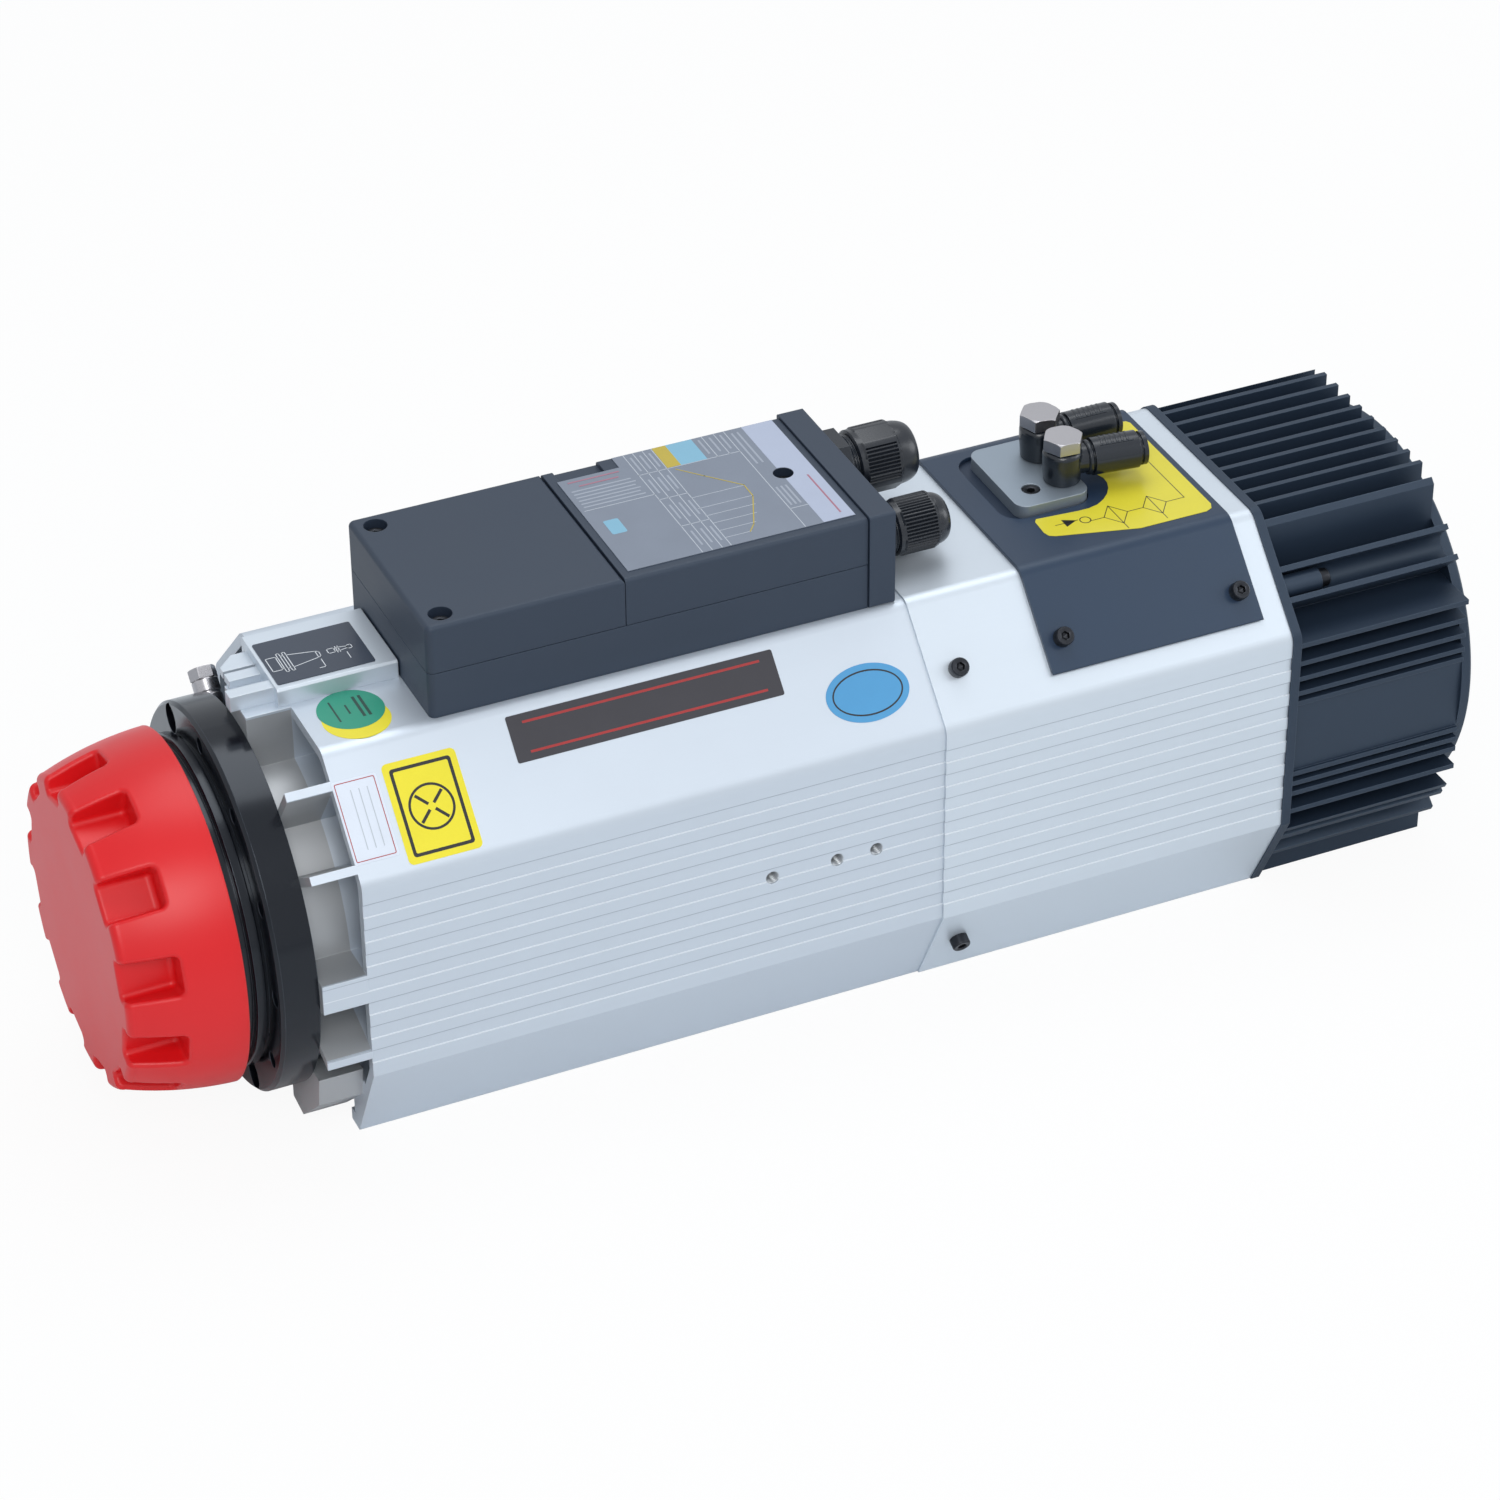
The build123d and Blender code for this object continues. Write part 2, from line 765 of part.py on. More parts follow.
# Protective cap with its ring of finger notches
with BuildPart() as nose_cap:
    mouth_radius = collar_radius + running
    mouth_end_x = collar_x - running
    cavity_radius = collar_radius - cap_wall
    notch_end_x = cap_front_x + cap_notch_length
    core_radius = cap_notch_floor - cap_wall
    with BuildSketch(Plane.XZ):
        with BuildLine():
            Line(
                (cap_front_x, axis_height),
                (cap_front_x, axis_height + cap_front_radius - cap_edge),
            )
            TangentArc(
                (cap_front_x, axis_height + cap_front_radius - cap_edge),
                (cap_front_x + cap_edge, axis_height + cap_front_radius),
                tangent=(0, 1),
            )
            ThreePointArc(
                (cap_front_x + cap_edge, axis_height + cap_front_radius),
                (
                    cap_front_x + cap_crown_place * cap_length,
                    axis_height + cap_rear_radius - cap_crown,
                ),
                (cap_rear_x, axis_height + cap_rear_radius),
            )
            Polyline(
                (cap_rear_x, axis_height + cap_rear_radius),
                (cap_rear_x, axis_height + mouth_radius),
                (mouth_end_x, axis_height + mouth_radius),
                (mouth_end_x, axis_height + cavity_radius),
                (notch_end_x + cap_wall, axis_height + cavity_radius),
                (notch_end_x + cap_wall, axis_height + core_radius),
                (cap_front_x + cap_wall, axis_height + core_radius),
                (cap_front_x + cap_wall, axis_height),
                (cap_front_x, axis_height),
            )
        make_face()
    revolve(axis=spindle_axis)
    notch_reach = cap_rear_radius + cap_wall - cap_notch_floor
    with BuildSketch(axis_plane(cap_front_x - cap_wall)):
        with PolarLocations(
            cap_notch_floor + notch_reach / 2, cap_notch_count, start_angle=cap_notch_phase
        ):
            Rectangle(notch_reach, cap_notch_width)
    extrude(amount=cap_notch_length + cap_wall, mode=Mode.SUBTRACT)
    notch_edges = edges(Select.LAST).filter_by(GeomType.LINE)
    fillet(notch_edges.filter_by(lambda edge: edge.center().X > cap_front_x + seat), cap_notch_root)
    fillet(edges().filter_by(GeomType.BSPLINE), cap_notch_lip)
save(nose_cap, "nose_cap")

# Spindle shaft: nose, tool taper, gripper chamber and spring bore
with BuildPart() as spindle_shaft:
    taper_end_radius = taper_radius - taper_depth * taper_ratio
    turned([
        (nose_x, taper_radius), (nose_x, nose_radius - nose_edge),
        (nose_x + nose_edge, nose_radius),
        (front_x + spigot_length, nose_radius), (front_x + spigot_length, shaft_shoulder),
        (bearing_one_x, shaft_shoulder), (bearing_one_x, shaft_radius),
        (rear_bearing_x, shaft_radius), (rear_bearing_x, shaft_tail_radius),
        (shaft_end_x, shaft_tail_radius), (shaft_end_x, spring_bore),
        (spring_x, spring_bore), (spring_x, drawbar_radius + running),
        (chamber_end_x, drawbar_radius + running), (chamber_end_x, chamber_radius),
        (taper_end_x, chamber_radius), (taper_end_x, taper_end_radius),
    ])
    with BuildSketch(axis_plane(nose_x)):
        Rectangle(2 * nose_radius + 2.0, key_width + 2 * seat)
        Circle(key_inner, mode=Mode.SUBTRACT)
    extrude(amount=key_depth, mode=Mode.SUBTRACT)
save(spindle_shaft, "spindle_shaft")

# Drive keys in the slots of the nose face
with BuildPart() as drive_keys:
    with BuildSketch(axis_plane(nose_x + key_depth)):
        Rectangle(2 * nose_radius, key_width)
        Circle(nose_radius - 0.2, mode=Mode.INTERSECT)
        Circle(key_inner + seat, mode=Mode.SUBTRACT)
    extrude(amount=-(key_depth + key_height))
save(drive_keys, "drive_keys")

# Flinger ring that turns inside the collar
with BuildPart() as flinger:
    ring(collar_x + 2.0, flange_x - 0.5, flinger_radius, nose_radius + seat)
save(flinger, "flinger")

# Front bearings
front_race_outer = front_bearing_outer - bearing_race
front_race_inner = shaft_radius + bearing_race
front_ball_circle = (front_race_outer + front_race_inner) / 2
front_groove_outer = front_ball_circle + ball_radius + ball_play
front_groove_inner = front_ball_circle - ball_radius - ball_play
rear_race_outer = rear_bearing_outer - bearing_race
rear_race_inner = shaft_tail_radius + bearing_race
rear_ball_circle = (rear_race_outer + rear_race_inner) / 2
rear_groove_outer = rear_ball_circle + ball_radius + ball_play
rear_groove_inner = rear_ball_circle - ball_radius - ball_play
groove_half = ball_radius + ball_play


def outer_race(x_from, width, outside, inside, groove):
    """Outer bearing ring with its running groove."""
    ring(x_from, x_from + width, outside - seat, inside)
    middle = x_from + width / 2
    ring(middle - groove_half, middle + groove_half, groove, mode=Mode.SUBTRACT)


def inner_race(x_from, width, outside, inside, groove):
    """Inner bearing ring with its running groove."""
    middle = x_from + width / 2
    ring(x_from, middle - groove_half, outside, inside + seat)
    ring(middle - groove_half, middle + groove_half, groove, inside + seat)
    ring(middle + groove_half, x_from + width, outside, inside + seat)


with BuildPart() as front_outer_race:
    outer_race(
        bearing_one_x, front_bearing_width, front_bearing_outer, front_race_outer,
        front_groove_outer,
    )
with BuildPart() as second_outer_race:
    outer_race(
        bearing_two_x, front_bearing_width, front_bearing_outer, front_race_outer,
        front_groove_outer,
    )
with BuildPart() as front_outer_rings:
    add(front_outer_race.part)
    add(second_outer_race.part)
save(front_outer_rings, "front_outer_rings")

with BuildPart() as front_inner_rings:
    for start in (bearing_one_x, bearing_two_x):
        inner_race(
            start, front_bearing_width, front_race_inner, shaft_radius, front_groove_inner,
        )
save(front_inner_rings, "front_inner_rings")

# Balls of all three bearings
with BuildPart() as bearing_balls:
    for start, width, circle in (
        (bearing_one_x, front_bearing_width, front_ball_circle),
        (bearing_two_x, front_bearing_width, front_ball_circle),
        (rear_bearing_x, rear_bearing_width, rear_ball_circle),
    ):
        with Locations(axis_plane(start + width / 2)):
            with PolarLocations(circle, ball_count):
                Sphere(ball_radius)
save(bearing_balls, "bearing_balls")

# Sleeve that carries the front bearings in the housing tube
with BuildPart() as front_bearing_sleeve:
    ring(
        front_x + spigot_length, bearing_end_x + carrier_wall_front, tube_bore - seat,
        front_bearing_outer,
    )
    ring(
        bearing_end_x, bearing_end_x + carrier_wall_front, tube_bore - seat,
        front_race_outer,
    )
save(front_bearing_sleeve, "front_bearing_sleeve")

# Spacer between the two front bearings, and the nut behind them
with BuildPart() as bearing_spacer:
    ring(bearing_one_x + front_bearing_width, bearing_two_x, front_race_inner - 0.5, shaft_radius + seat)
save(bearing_spacer, "bearing_spacer")

with BuildPart() as lock_nut:
    ring(bearing_end_x, bearing_end_x + lock_nut_length, lock_nut_radius, shaft_radius + seat)
save(lock_nut, "lock_nut")

# Rear bearing and its carrier
with BuildPart() as rear_outer_ring:
    outer_race(
        rear_bearing_x, rear_bearing_width, rear_bearing_outer, rear_race_outer,
        rear_groove_outer,
    )
save(rear_outer_ring, "rear_outer_ring")

with BuildPart() as rear_inner_ring:
    inner_race(
        rear_bearing_x, rear_bearing_width, rear_race_inner, shaft_tail_radius,
        rear_groove_inner,
    )
save(rear_inner_ring, "rear_inner_ring")

with BuildPart() as rear_bearing_carrier:
    ring(
        rear_bearing_x - carrier_wall_rear, joint_x + carrier_wall_rear, tube_bore - seat,
        rear_bearing_outer,
    )
    ring(
        rear_bearing_x - carrier_wall_rear, rear_bearing_x, tube_bore - seat,
        rear_race_outer,
    )
save(rear_bearing_carrier, "rear_bearing_carrier")

# Motor: stator core, windings and rotor
with BuildPart() as stator_core:
    with BuildSketch(axis_plane(core_x)):
        Circle(tube_bore - seat)
        Circle(stator_bore, mode=Mode.SUBTRACT)
        with PolarLocations((slot_inner + slot_reach) / 2, slot_count):
            Rectangle(slot_reach - slot_inner + 2 * seat, slot_width, mode=Mode.SUBTRACT)
    extrude(amount=core_length)
save(stator_core, "stator_core")

with BuildPart() as stator_windings:
    ring(core_x - coil_end_length, core_x, coil_outer, coil_inner)
    ring(core_end_x, core_end_x + coil_end_length, coil_outer, coil_inner)
    with BuildSketch(axis_plane(core_x)):
        with PolarLocations((slot_inner + slot_reach) / 2, slot_count):
            Rectangle(slot_reach - slot_inner, slot_width - 2 * seat)
    extrude(amount=core_length)
save(stator_windings, "stator_windings")

with BuildPart() as rotor_core:
    ring(core_x, core_end_x, rotor_radius, shaft_radius + seat)
    for end_x in (core_x - rotor_end_length, core_end_x):
        ring(
            end_x, end_x + rotor_end_length,
            rotor_radius - rotor_end_step, rotor_radius - rotor_end_depth,
        )
save(rotor_core, "rotor_core")

# Disc springs between the shaft shoulder and the drawbar's thrust collar
with BuildPart() as disc_springs:
    for step in range(disc_spring_count):
        near = spring_x + 0.01 + step * spring_pitch
        lean = disc_spring_cone if step % 2 else 0.0
        rise = 0.0 if step % 2 else disc_spring_cone
        turned([
            (near + lean, disc_spring_inner), (near + rise, disc_spring_outer),
            (near + rise + disc_spring_thickness, disc_spring_outer),
            (near + lean + disc_spring_thickness, disc_spring_inner),
        ])
save(disc_springs, "disc_springs")

# Drawbar with its thrust collar, guide and sensor target
gripper_x = taper_end_x + release_stroke + end_play
gripper_end_x = gripper_x + gripper_length
with BuildPart() as drawbar:
    turned([
        (gripper_x + gripper_length / 2, 0), (gripper_x + gripper_length / 2, gripper_bore - seat),
        (gripper_end_x, gripper_bore - seat), (gripper_end_x, drawbar_radius),
        (thrust_x, drawbar_radius), (thrust_x, spring_bore - running),
        (thrust_x + thrust_collar_length, spring_bore - running),
        (thrust_x + thrust_collar_length, tail_radius),
        (shaft_end_x - 12.0, tail_radius), (shaft_end_x - 12.0, spring_bore - running),
        (shaft_end_x - 4.0, spring_bore - running), (shaft_end_x - 4.0, tail_radius),
        (drawbar_end_x - target_length, tail_radius), (drawbar_end_x - target_length, target_radius),
        (drawbar_end_x, target_radius), (drawbar_end_x, 0),
    ])
save(drawbar, "drawbar")

# Gripper: slotted fingers that hold the tool's pull stud
with BuildPart() as gripper:
    with BuildSketch(axis_plane(gripper_x)):
        Circle(chamber_radius - running)
        Circle(gripper_bore, mode=Mode.SUBTRACT)
        with PolarLocations(chamber_radius, gripper_slots):
            Rectangle(chamber_radius, gripper_slot_width, mode=Mode.SUBTRACT)
    extrude(amount=gripper_length / 2)
    ring(gripper_x + gripper_length / 2, gripper_end_x, chamber_radius - running, gripper_bore)
save(gripper, "gripper")

# Release cylinder, cover, piston and seals
with BuildPart() as cylinder_body:
    ring(cylinder_x, cover_x, tube_bore - seat, cylinder_bore)
    ring(cylinder_x, cylinder_bore_x, tube_bore - seat, piston_rod + piston_fit)
save(cylinder_body, "cylinder_body")

with BuildPart() as cylinder_cover:
    ring(cover_x, cover_x + cover_length, tube_bore - seat, piston_rear_rod + piston_fit)
    ring(cover_x + cover_length, cover_x + cover_length + 3.0, 2 * piston_rear_rod)
save(cylinder_cover, "cylinder_cover")

rear_rod_end_x = cover_x + cover_length - piston_rod_inset
seal_x = piston_x + (piston_length - seal_width) / 2
with BuildPart() as piston:
    turned([
        (drawbar_end_x + piston_gap, 0), (drawbar_end_x + piston_gap, piston_rod),
        (piston_x, piston_rod), (piston_x, cylinder_bore - piston_fit),
        (seal_x, cylinder_bore - piston_fit), (seal_x, cylinder_bore - seal_depth),
        (seal_x + seal_width, cylinder_bore - seal_depth),
        (seal_x + seal_width, cylinder_bore - piston_fit),
        (piston_x + piston_length, cylinder_bore - piston_fit),
        (piston_x + piston_length, piston_rear_rod),
        (rear_rod_end_x, piston_rear_rod), (rear_rod_end_x, 0),
    ])
save(piston, "piston")

with BuildPart() as piston_seal:
    ring(
        seal_x + seat, seal_x + seal_width - seat, cylinder_bore - piston_fit / 2,
        cylinder_bore - seal_depth + seat,
    )
save(piston_seal, "piston_seal")

# Sensor bracket and the proximity sensors that watch the drawbar
bracket_x = joint_x + bracket_offset
sensor_x = bracket_x + bracket_length / 2
with BuildPart() as sensor_bracket:
    ring(bracket_x, bracket_x + bracket_length, tube_bore - seat, bracket_bore)
    for angle in (sensor_spread, -sensor_spread):
        drill(radial_plane(sensor_x, tube_bore, angle), sensor_radius + seat, tube_bore / 2)
save(sensor_bracket, "sensor_bracket")

with BuildPart() as tool_sensors:
    for angle in (sensor_spread, -sensor_spread):
        with BuildSketch(radial_plane(sensor_x, sensor_tip, angle)):
            Circle(sensor_radius)
        extrude(amount=tube_bore - sensor_sink - sensor_tip)
save(tool_sensors, "tool_sensors")

# Screws through the skin of the rear housing
with BuildPart() as housing_screws:
    for plane in housing_screw_planes:
        screw(
            plane, small_screw_head, small_screw_head_length, small_screw_shank,
            small_screw_length,
        )
save(housing_screws, "housing_screws")

# Rim plate between the rear housing and the fan housing
with BuildPart() as rim_plate:
    with BuildSketch(axis_plane(rim_x)):
        outline(rim_grow)
        Circle(rim_bore, mode=Mode.SUBTRACT)
    extrude(amount=rim_thickness)
    for radius, angle in tie_places:
        drill(rear_plane(fan_x, radius, angle), tie_screw_shank + seat, rim_thickness)
save(rim_plate, "rim_plate")

# Fan housing: round core with fins that end on the housing outline
with BuildPart() as fan_housing:
    with BuildSketch(axis_plane(fan_x)):
        with Locations(*[
            (step * top_fin_pitch, 0) for step in range(-top_fins_each_side, top_fins_each_side + 1)
        ]):
            Rectangle(fin_thickness, body_height, align=(Align.CENTER, Align.MIN))
        with Locations(*[(0, height - axis_height) for height in side_fin_heights]):
            Rectangle(2 * body_width, fin_thickness)
        with Locations(*[
            (step * top_fin_pitch, 0)
            for step in range(-bottom_fins_each_side, bottom_fins_each_side + 1)
        ]):
            Rectangle(fin_thickness, body_height, align=(Align.CENTER, Align.MAX))
        for side in (1, -1):
            with Locations((side * body_width / 2, (panel_top + panel_bottom) / 2 - axis_height)):
                Rectangle(2 * (body_width / 2 - fan_bore), panel_top - panel_bottom)
        radial_webs([(angle, tie_rib) for angle in tie_angles])
        Circle(fan_core)
        outline(mode=Mode.INTERSECT)
        for side in (1, -1):
            with Locations((side * body_width / 2, (panel_top + panel_bottom) / 2 - axis_height)):
                Rectangle(
                    2 * panel_depth, panel_top - panel_bottom - 2 * panel_border,
                    mode=Mode.SUBTRACT,
                )
        for radius, angle in tie_places:
            with PolarLocations(radius, 1, start_angle=angle):
                Circle(tie_groove, mode=Mode.SUBTRACT)
                Rectangle(
                    body_width, 2 * tie_groove, align=(Align.MIN, Align.CENTER),
                    mode=Mode.SUBTRACT,
                )
        Circle(fan_bore, mode=Mode.SUBTRACT)
    extrude(amount=fan_length)
    for radius, angle in tie_places:
        with BuildSketch(rear_plane(fan_x, radius, angle)):
            Circle(tie_boss)
            with PolarLocations(0, 1, start_angle=angle):
                Rectangle(
                    tie_groove + 1.0, 2 * tie_boss, align=(Align.MAX, Align.CENTER),
                )
            Circle(tie_screw_shank + seat, mode=Mode.SUBTRACT)
        extrude(amount=tie_boss_length)
    for step in range(grille_spokes):
        hole = rear_plane(disc_x, grille_screw_circle, 45.0 + 90.0 * step)
        drill(hole, grille_screw_shank + seat, grille_screw_length)
save(fan_housing, "fan_housing")

# Tie screws of the fan housing
with BuildPart() as fan_screws:
    for radius, angle in tie_places:
        screw(
            rear_plane(fan_x + tie_boss_length, radius, angle), tie_screw_head,
            tie_screw_head_length, tie_screw_shank,
            tie_boss_length + rim_thickness + tie_screw_length - 2.0,
        )
save(fan_screws, "fan_screws")

# Fan frame with its motor, struts and mounting ring
with BuildPart() as fan_frame:
    ring(fan_frame_x, disc_x, fan_bore - seat, fan_bore - fan_frame_wall)
    ring(disc_x - fan_strut_depth, disc_x, fan_motor_radius)
    with BuildSketch(axis_plane(disc_x - fan_strut_depth)):
        with PolarLocations(0, grille_spokes, start_angle=45.0):
            Rectangle(fan_bore - fan_frame_wall + fan_strut_root, fan_strut, align=(Align.MIN, Align.CENTER))
    extrude(amount=fan_strut_depth)
    ring(fan_frame_x + fan_shaft_inset, disc_x - fan_strut_depth, fan_shaft_radius)
save(fan_frame, "fan_frame")

# Fan rotor: hub and pitched blades
with BuildPart() as fan_rotor:
    hub_back_x = disc_x - fan_strut_depth - running
    hub_front_x = fan_frame_x + fan_hub_inset
    ring(hub_front_x + fan_hub_web / 2, hub_back_x, fan_hub_radius, fan_shaft_radius + running)
    ring(hub_front_x, hub_front_x + fan_hub_web, fan_hub_radius)
    blade_x = (hub_front_x + hub_back_x) / 2
    for step in range(fan_blade_count):
        turn = radians(step * 360.0 / fan_blade_count)
        outward = Vector(0, cos(turn), sin(turn))
        across = Vector(0, -sin(turn), cos(turn))
        pitch = radians(fan_blade_pitch)
        chord = Vector(sin(pitch), 0, 0) + across * cos(pitch)
        root = Vector(blade_x, 0, axis_height) + outward * (fan_hub_radius - fan_blade_root)
        with BuildSketch(Plane(origin=root, x_dir=chord, z_dir=outward)):
            RectangleRounded(fan_blade_chord, fin_thickness, fan_blade_edge)
        extrude(amount=fan_blade_tip - fan_hub_radius + fan_blade_root)
save(fan_rotor, "fan_rotor")

# Rear disc with its grille
with BuildPart() as rear_grille:
    disc_radius = body_width / 2 + disc_grow
    with BuildSketch(axis_plane(disc_x)):
        Circle(disc_radius)
        outline(rim_grow, Mode.INTERSECT)
    extrude(amount=disc_thickness)
    chamfer(edges().group_by(Axis.X)[-1], disc_edge)
    with BuildSketch(axis_plane(disc_x)):
        for step in reversed(range(grille_rings)):
            inner = grille_first + step * grille_pitch
            Circle(inner + grille_slot)
            Circle(inner, mode=Mode.SUBTRACT)
        with PolarLocations(0, grille_spokes, start_angle=45.0):
            Rectangle(disc_radius, grille_spoke, align=(Align.MIN, Align.CENTER), mode=Mode.SUBTRACT)
    extrude(amount=disc_thickness, mode=Mode.SUBTRACT)
    for step in range(grille_spokes):
        hole = rear_plane(tail_x, grille_screw_circle, 45.0 + 90.0 * step)
        drill(hole, grille_screw_shank + seat, disc_thickness)
save(rear_grille, "rear_grille")

# Screws of the grille
with BuildPart() as grille_screws:
    for step in range(grille_spokes):
        screw(
            rear_plane(tail_x, grille_screw_circle, 45.0 + 90.0 * step), grille_screw_head,
            grille_screw_head_length, grille_screw_shank,
            disc_thickness + grille_screw_length - end_play,
        )
save(grille_screws, "grille_screws")

# Terminal box: base, two lids and the end plate
box_from = joint_x - box_front_offset
box_split = joint_x - box_split_offset
box_to = joint_x - box_rear_offset
seam_z = body_height + box_seam
lid_z = seam_z + box_gap
box_top = body_height + box_height
lid_screw_places = [
    (joint_x - front_lid_screw_offset, front_lid_screw_y),
    (joint_x - front_lid_screw_offset, -front_lid_screw_y),
    (joint_x - rear_lid_screw_offset, rear_lid_screw_y),
]


def box_block(x_from, x_to, width, mode=Mode.ADD):
    """Rectangle of the box in plan, between two stations, in the sketch that is open."""
    with Locations(((x_from + x_to) / 2, 0)):
        Rectangle(x_to - x_from, width, mode=mode)


with BuildPart() as box_base:
    with BuildSketch(floor_plane(body_height)):
        box_block(box_from, box_to, box_width)
        fillet(vertices().group_by(Axis.X)[0], box_corner)
    extrude(amount=box_seam)
    with BuildSketch(floor_plane(body_height + box_wall)):
        box_block(box_from + box_wall, box_to, box_width - 2 * box_wall)
    extrude(amount=box_seam, mode=Mode.SUBTRACT)
    with BuildSketch(floor_plane(body_height + box_wall)):
        with Locations(*lid_screw_places):
            Circle(base_boss)
    extrude(amount=box_seam - box_wall)
    with BuildSketch(floor_plane(body_height)):
        with Locations((joint_x - wire_passage_offset, 0)):
            Circle(wire_passage_radius)
    extrude(amount=box_wall, mode=Mode.SUBTRACT)
    with BuildSketch(floor_plane(seam_z)):
        with Locations(*lid_screw_places):
            Circle(lid_screw_shank + seat)
    extrude(amount=-(box_seam - box_wall), mode=Mode.SUBTRACT)
save(box_base, "box_base")

recess_z = box_top - lid_recess
with BuildPart() as front_lid:
    with BuildSketch(floor_plane(lid_z)):
        box_block(box_from, box_split - box_gap / 2, box_width)
        fillet(vertices().group_by(Axis.X)[0], box_corner)
    extrude(amount=box_top - lid_z)
    fillet(faces().sort_by(Axis.Z)[-1].edges(), box_edge)
    with BuildSketch(floor_plane(lid_z)):
        box_block(
            box_from + box_wall, box_split - box_gap / 2 - box_wall, box_width - 2 * box_wall,
        )
    extrude(amount=box_top - box_wall - lid_z, mode=Mode.SUBTRACT)
    with BuildSketch(floor_plane(lid_z)):
        with Locations(*lid_screw_places[:2]):
            Circle(lid_boss)
        box_block(
            box_from + lid_boss_inset, box_split, box_width - 2 * lid_boss_inset,
            Mode.INTERSECT,
        )
    extrude(amount=box_top - box_wall - lid_z)
    for x, y in lid_screw_places[:2]:
        drill(Plane(origin=(x, y, box_top)), lid_recess_radius, lid_recess)
        drill(Plane(origin=(x, y, recess_z)), lid_screw_shank + seat, box_height)
save(front_lid, "front_lid")

with BuildPart() as rear_lid:
    with BuildSketch(floor_plane(lid_z)):
        box_block(box_split + box_gap / 2, box_to, box_width)
    extrude(amount=box_top - lid_z)
    fillet(faces().sort_by(Axis.Z)[-1].edges().filter_by(Axis.X), box_edge)
    with BuildSketch(floor_plane(lid_z)):
        box_block(box_split + box_gap / 2 + box_wall, box_to, box_width - 2 * box_wall)
    extrude(amount=box_top - box_wall - lid_z, mode=Mode.SUBTRACT)
    with BuildSketch(floor_plane(lid_z)):
        with Locations(lid_screw_places[2]):
            Circle(lid_boss)
    extrude(amount=box_top - box_wall - lid_z)
    with BuildSketch(floor_plane(box_top)):
        notch_x = joint_x - (notch_from + notch_to) / 2
        with Locations((notch_x, box_width / 2)):
            Rectangle(notch_from - notch_to, 2 * (box_width / 2 - notch_y))
    extrude(amount=-notch_depth, mode=Mode.SUBTRACT)
    x, y = lid_screw_places[2]
    drill(Plane(origin=(x, y, box_top)), lid_recess_radius, lid_recess)
    drill(Plane(origin=(x, y, recess_z)), lid_screw_shank + seat, box_height)
save(rear_lid, "rear_lid")

with BuildPart() as lid_screws:
    for x, y in lid_screw_places:
        screw(
            Plane(origin=(x, y, recess_z)), lid_screw_head, lid_screw_head_length,
            lid_screw_shank, lid_screw_length,
        )
save(lid_screws, "lid_screws")

plate_x = box_to + box_gap
plate_end_x = plate_x + end_plate_thickness
with BuildPart() as end_plate:
    with BuildSketch(floor_plane(body_height)):
        box_block(plate_x, plate_end_x, box_width + 2 * end_plate_grow)
    extrude(amount=box_height + end_plate_grow)
    fillet(edges().filter_by(Axis.X), end_plate_edge)
    for (y, up), neck in zip(gland_centres, gland_neck_radii):
        with BuildSketch(Plane(
            origin=(plate_x, y, body_height + up), x_dir=(0, 1, 0), z_dir=(1, 0, 0)
        )):
            Circle(neck + seat)
        extrude(amount=end_plate_thickness, mode=Mode.SUBTRACT)
save(end_plate, "end_plate")

# Terminal block inside the box
with BuildPart() as terminal_block:
    block_from = joint_x - block_centre_offset - block_length / 2
    pole = block_length / block_poles
    with BuildSketch(floor_plane(body_height + box_wall)):
        with Locations((block_from + block_length / 2, block_y)):
            Rectangle(block_length, block_base_width)
    extrude(amount=block_height)
    with BuildSketch(floor_plane(body_height + box_wall + block_height)):
        with Locations(*[
            (block_from + (step + 0.5) * pole, block_y)
            for step in range(block_poles)
        ]):
            Rectangle(pole - block_rib, block_width)
    extrude(amount=-block_height / 2, mode=Mode.SUBTRACT)
save(terminal_block, "terminal_block")


def gland_plane(x, y, up):
    """Plane across a gland at x, centred on it."""
    return Plane(origin=(x, y, body_height + up), x_dir=(0, 1, 0), z_dir=(1, 0, 0))


def gland_body(centre, neck, flats, bore):
    """Gland body: neck through the end plate, hexagon and threaded stub."""
    y, up = centre
    length = end_plate_thickness + gland_neck_end + gland_sink
    with BuildSketch(gland_plane(plate_x - gland_sink, y, up)) as profile:
        Circle(neck)
    extrude(profile.sketch, amount=length)
    with BuildSketch(gland_plane(plate_end_x, y, up)) as profile:
        RegularPolygon(flats / 2, 6, major_radius=False)
    extrude(profile.sketch, amount=gland_hex_length)
    with BuildSketch(gland_plane(plate_x - gland_sink, y, up)) as profile:
        Circle(bore)
    extrude(profile.sketch, amount=length, mode=Mode.SUBTRACT)


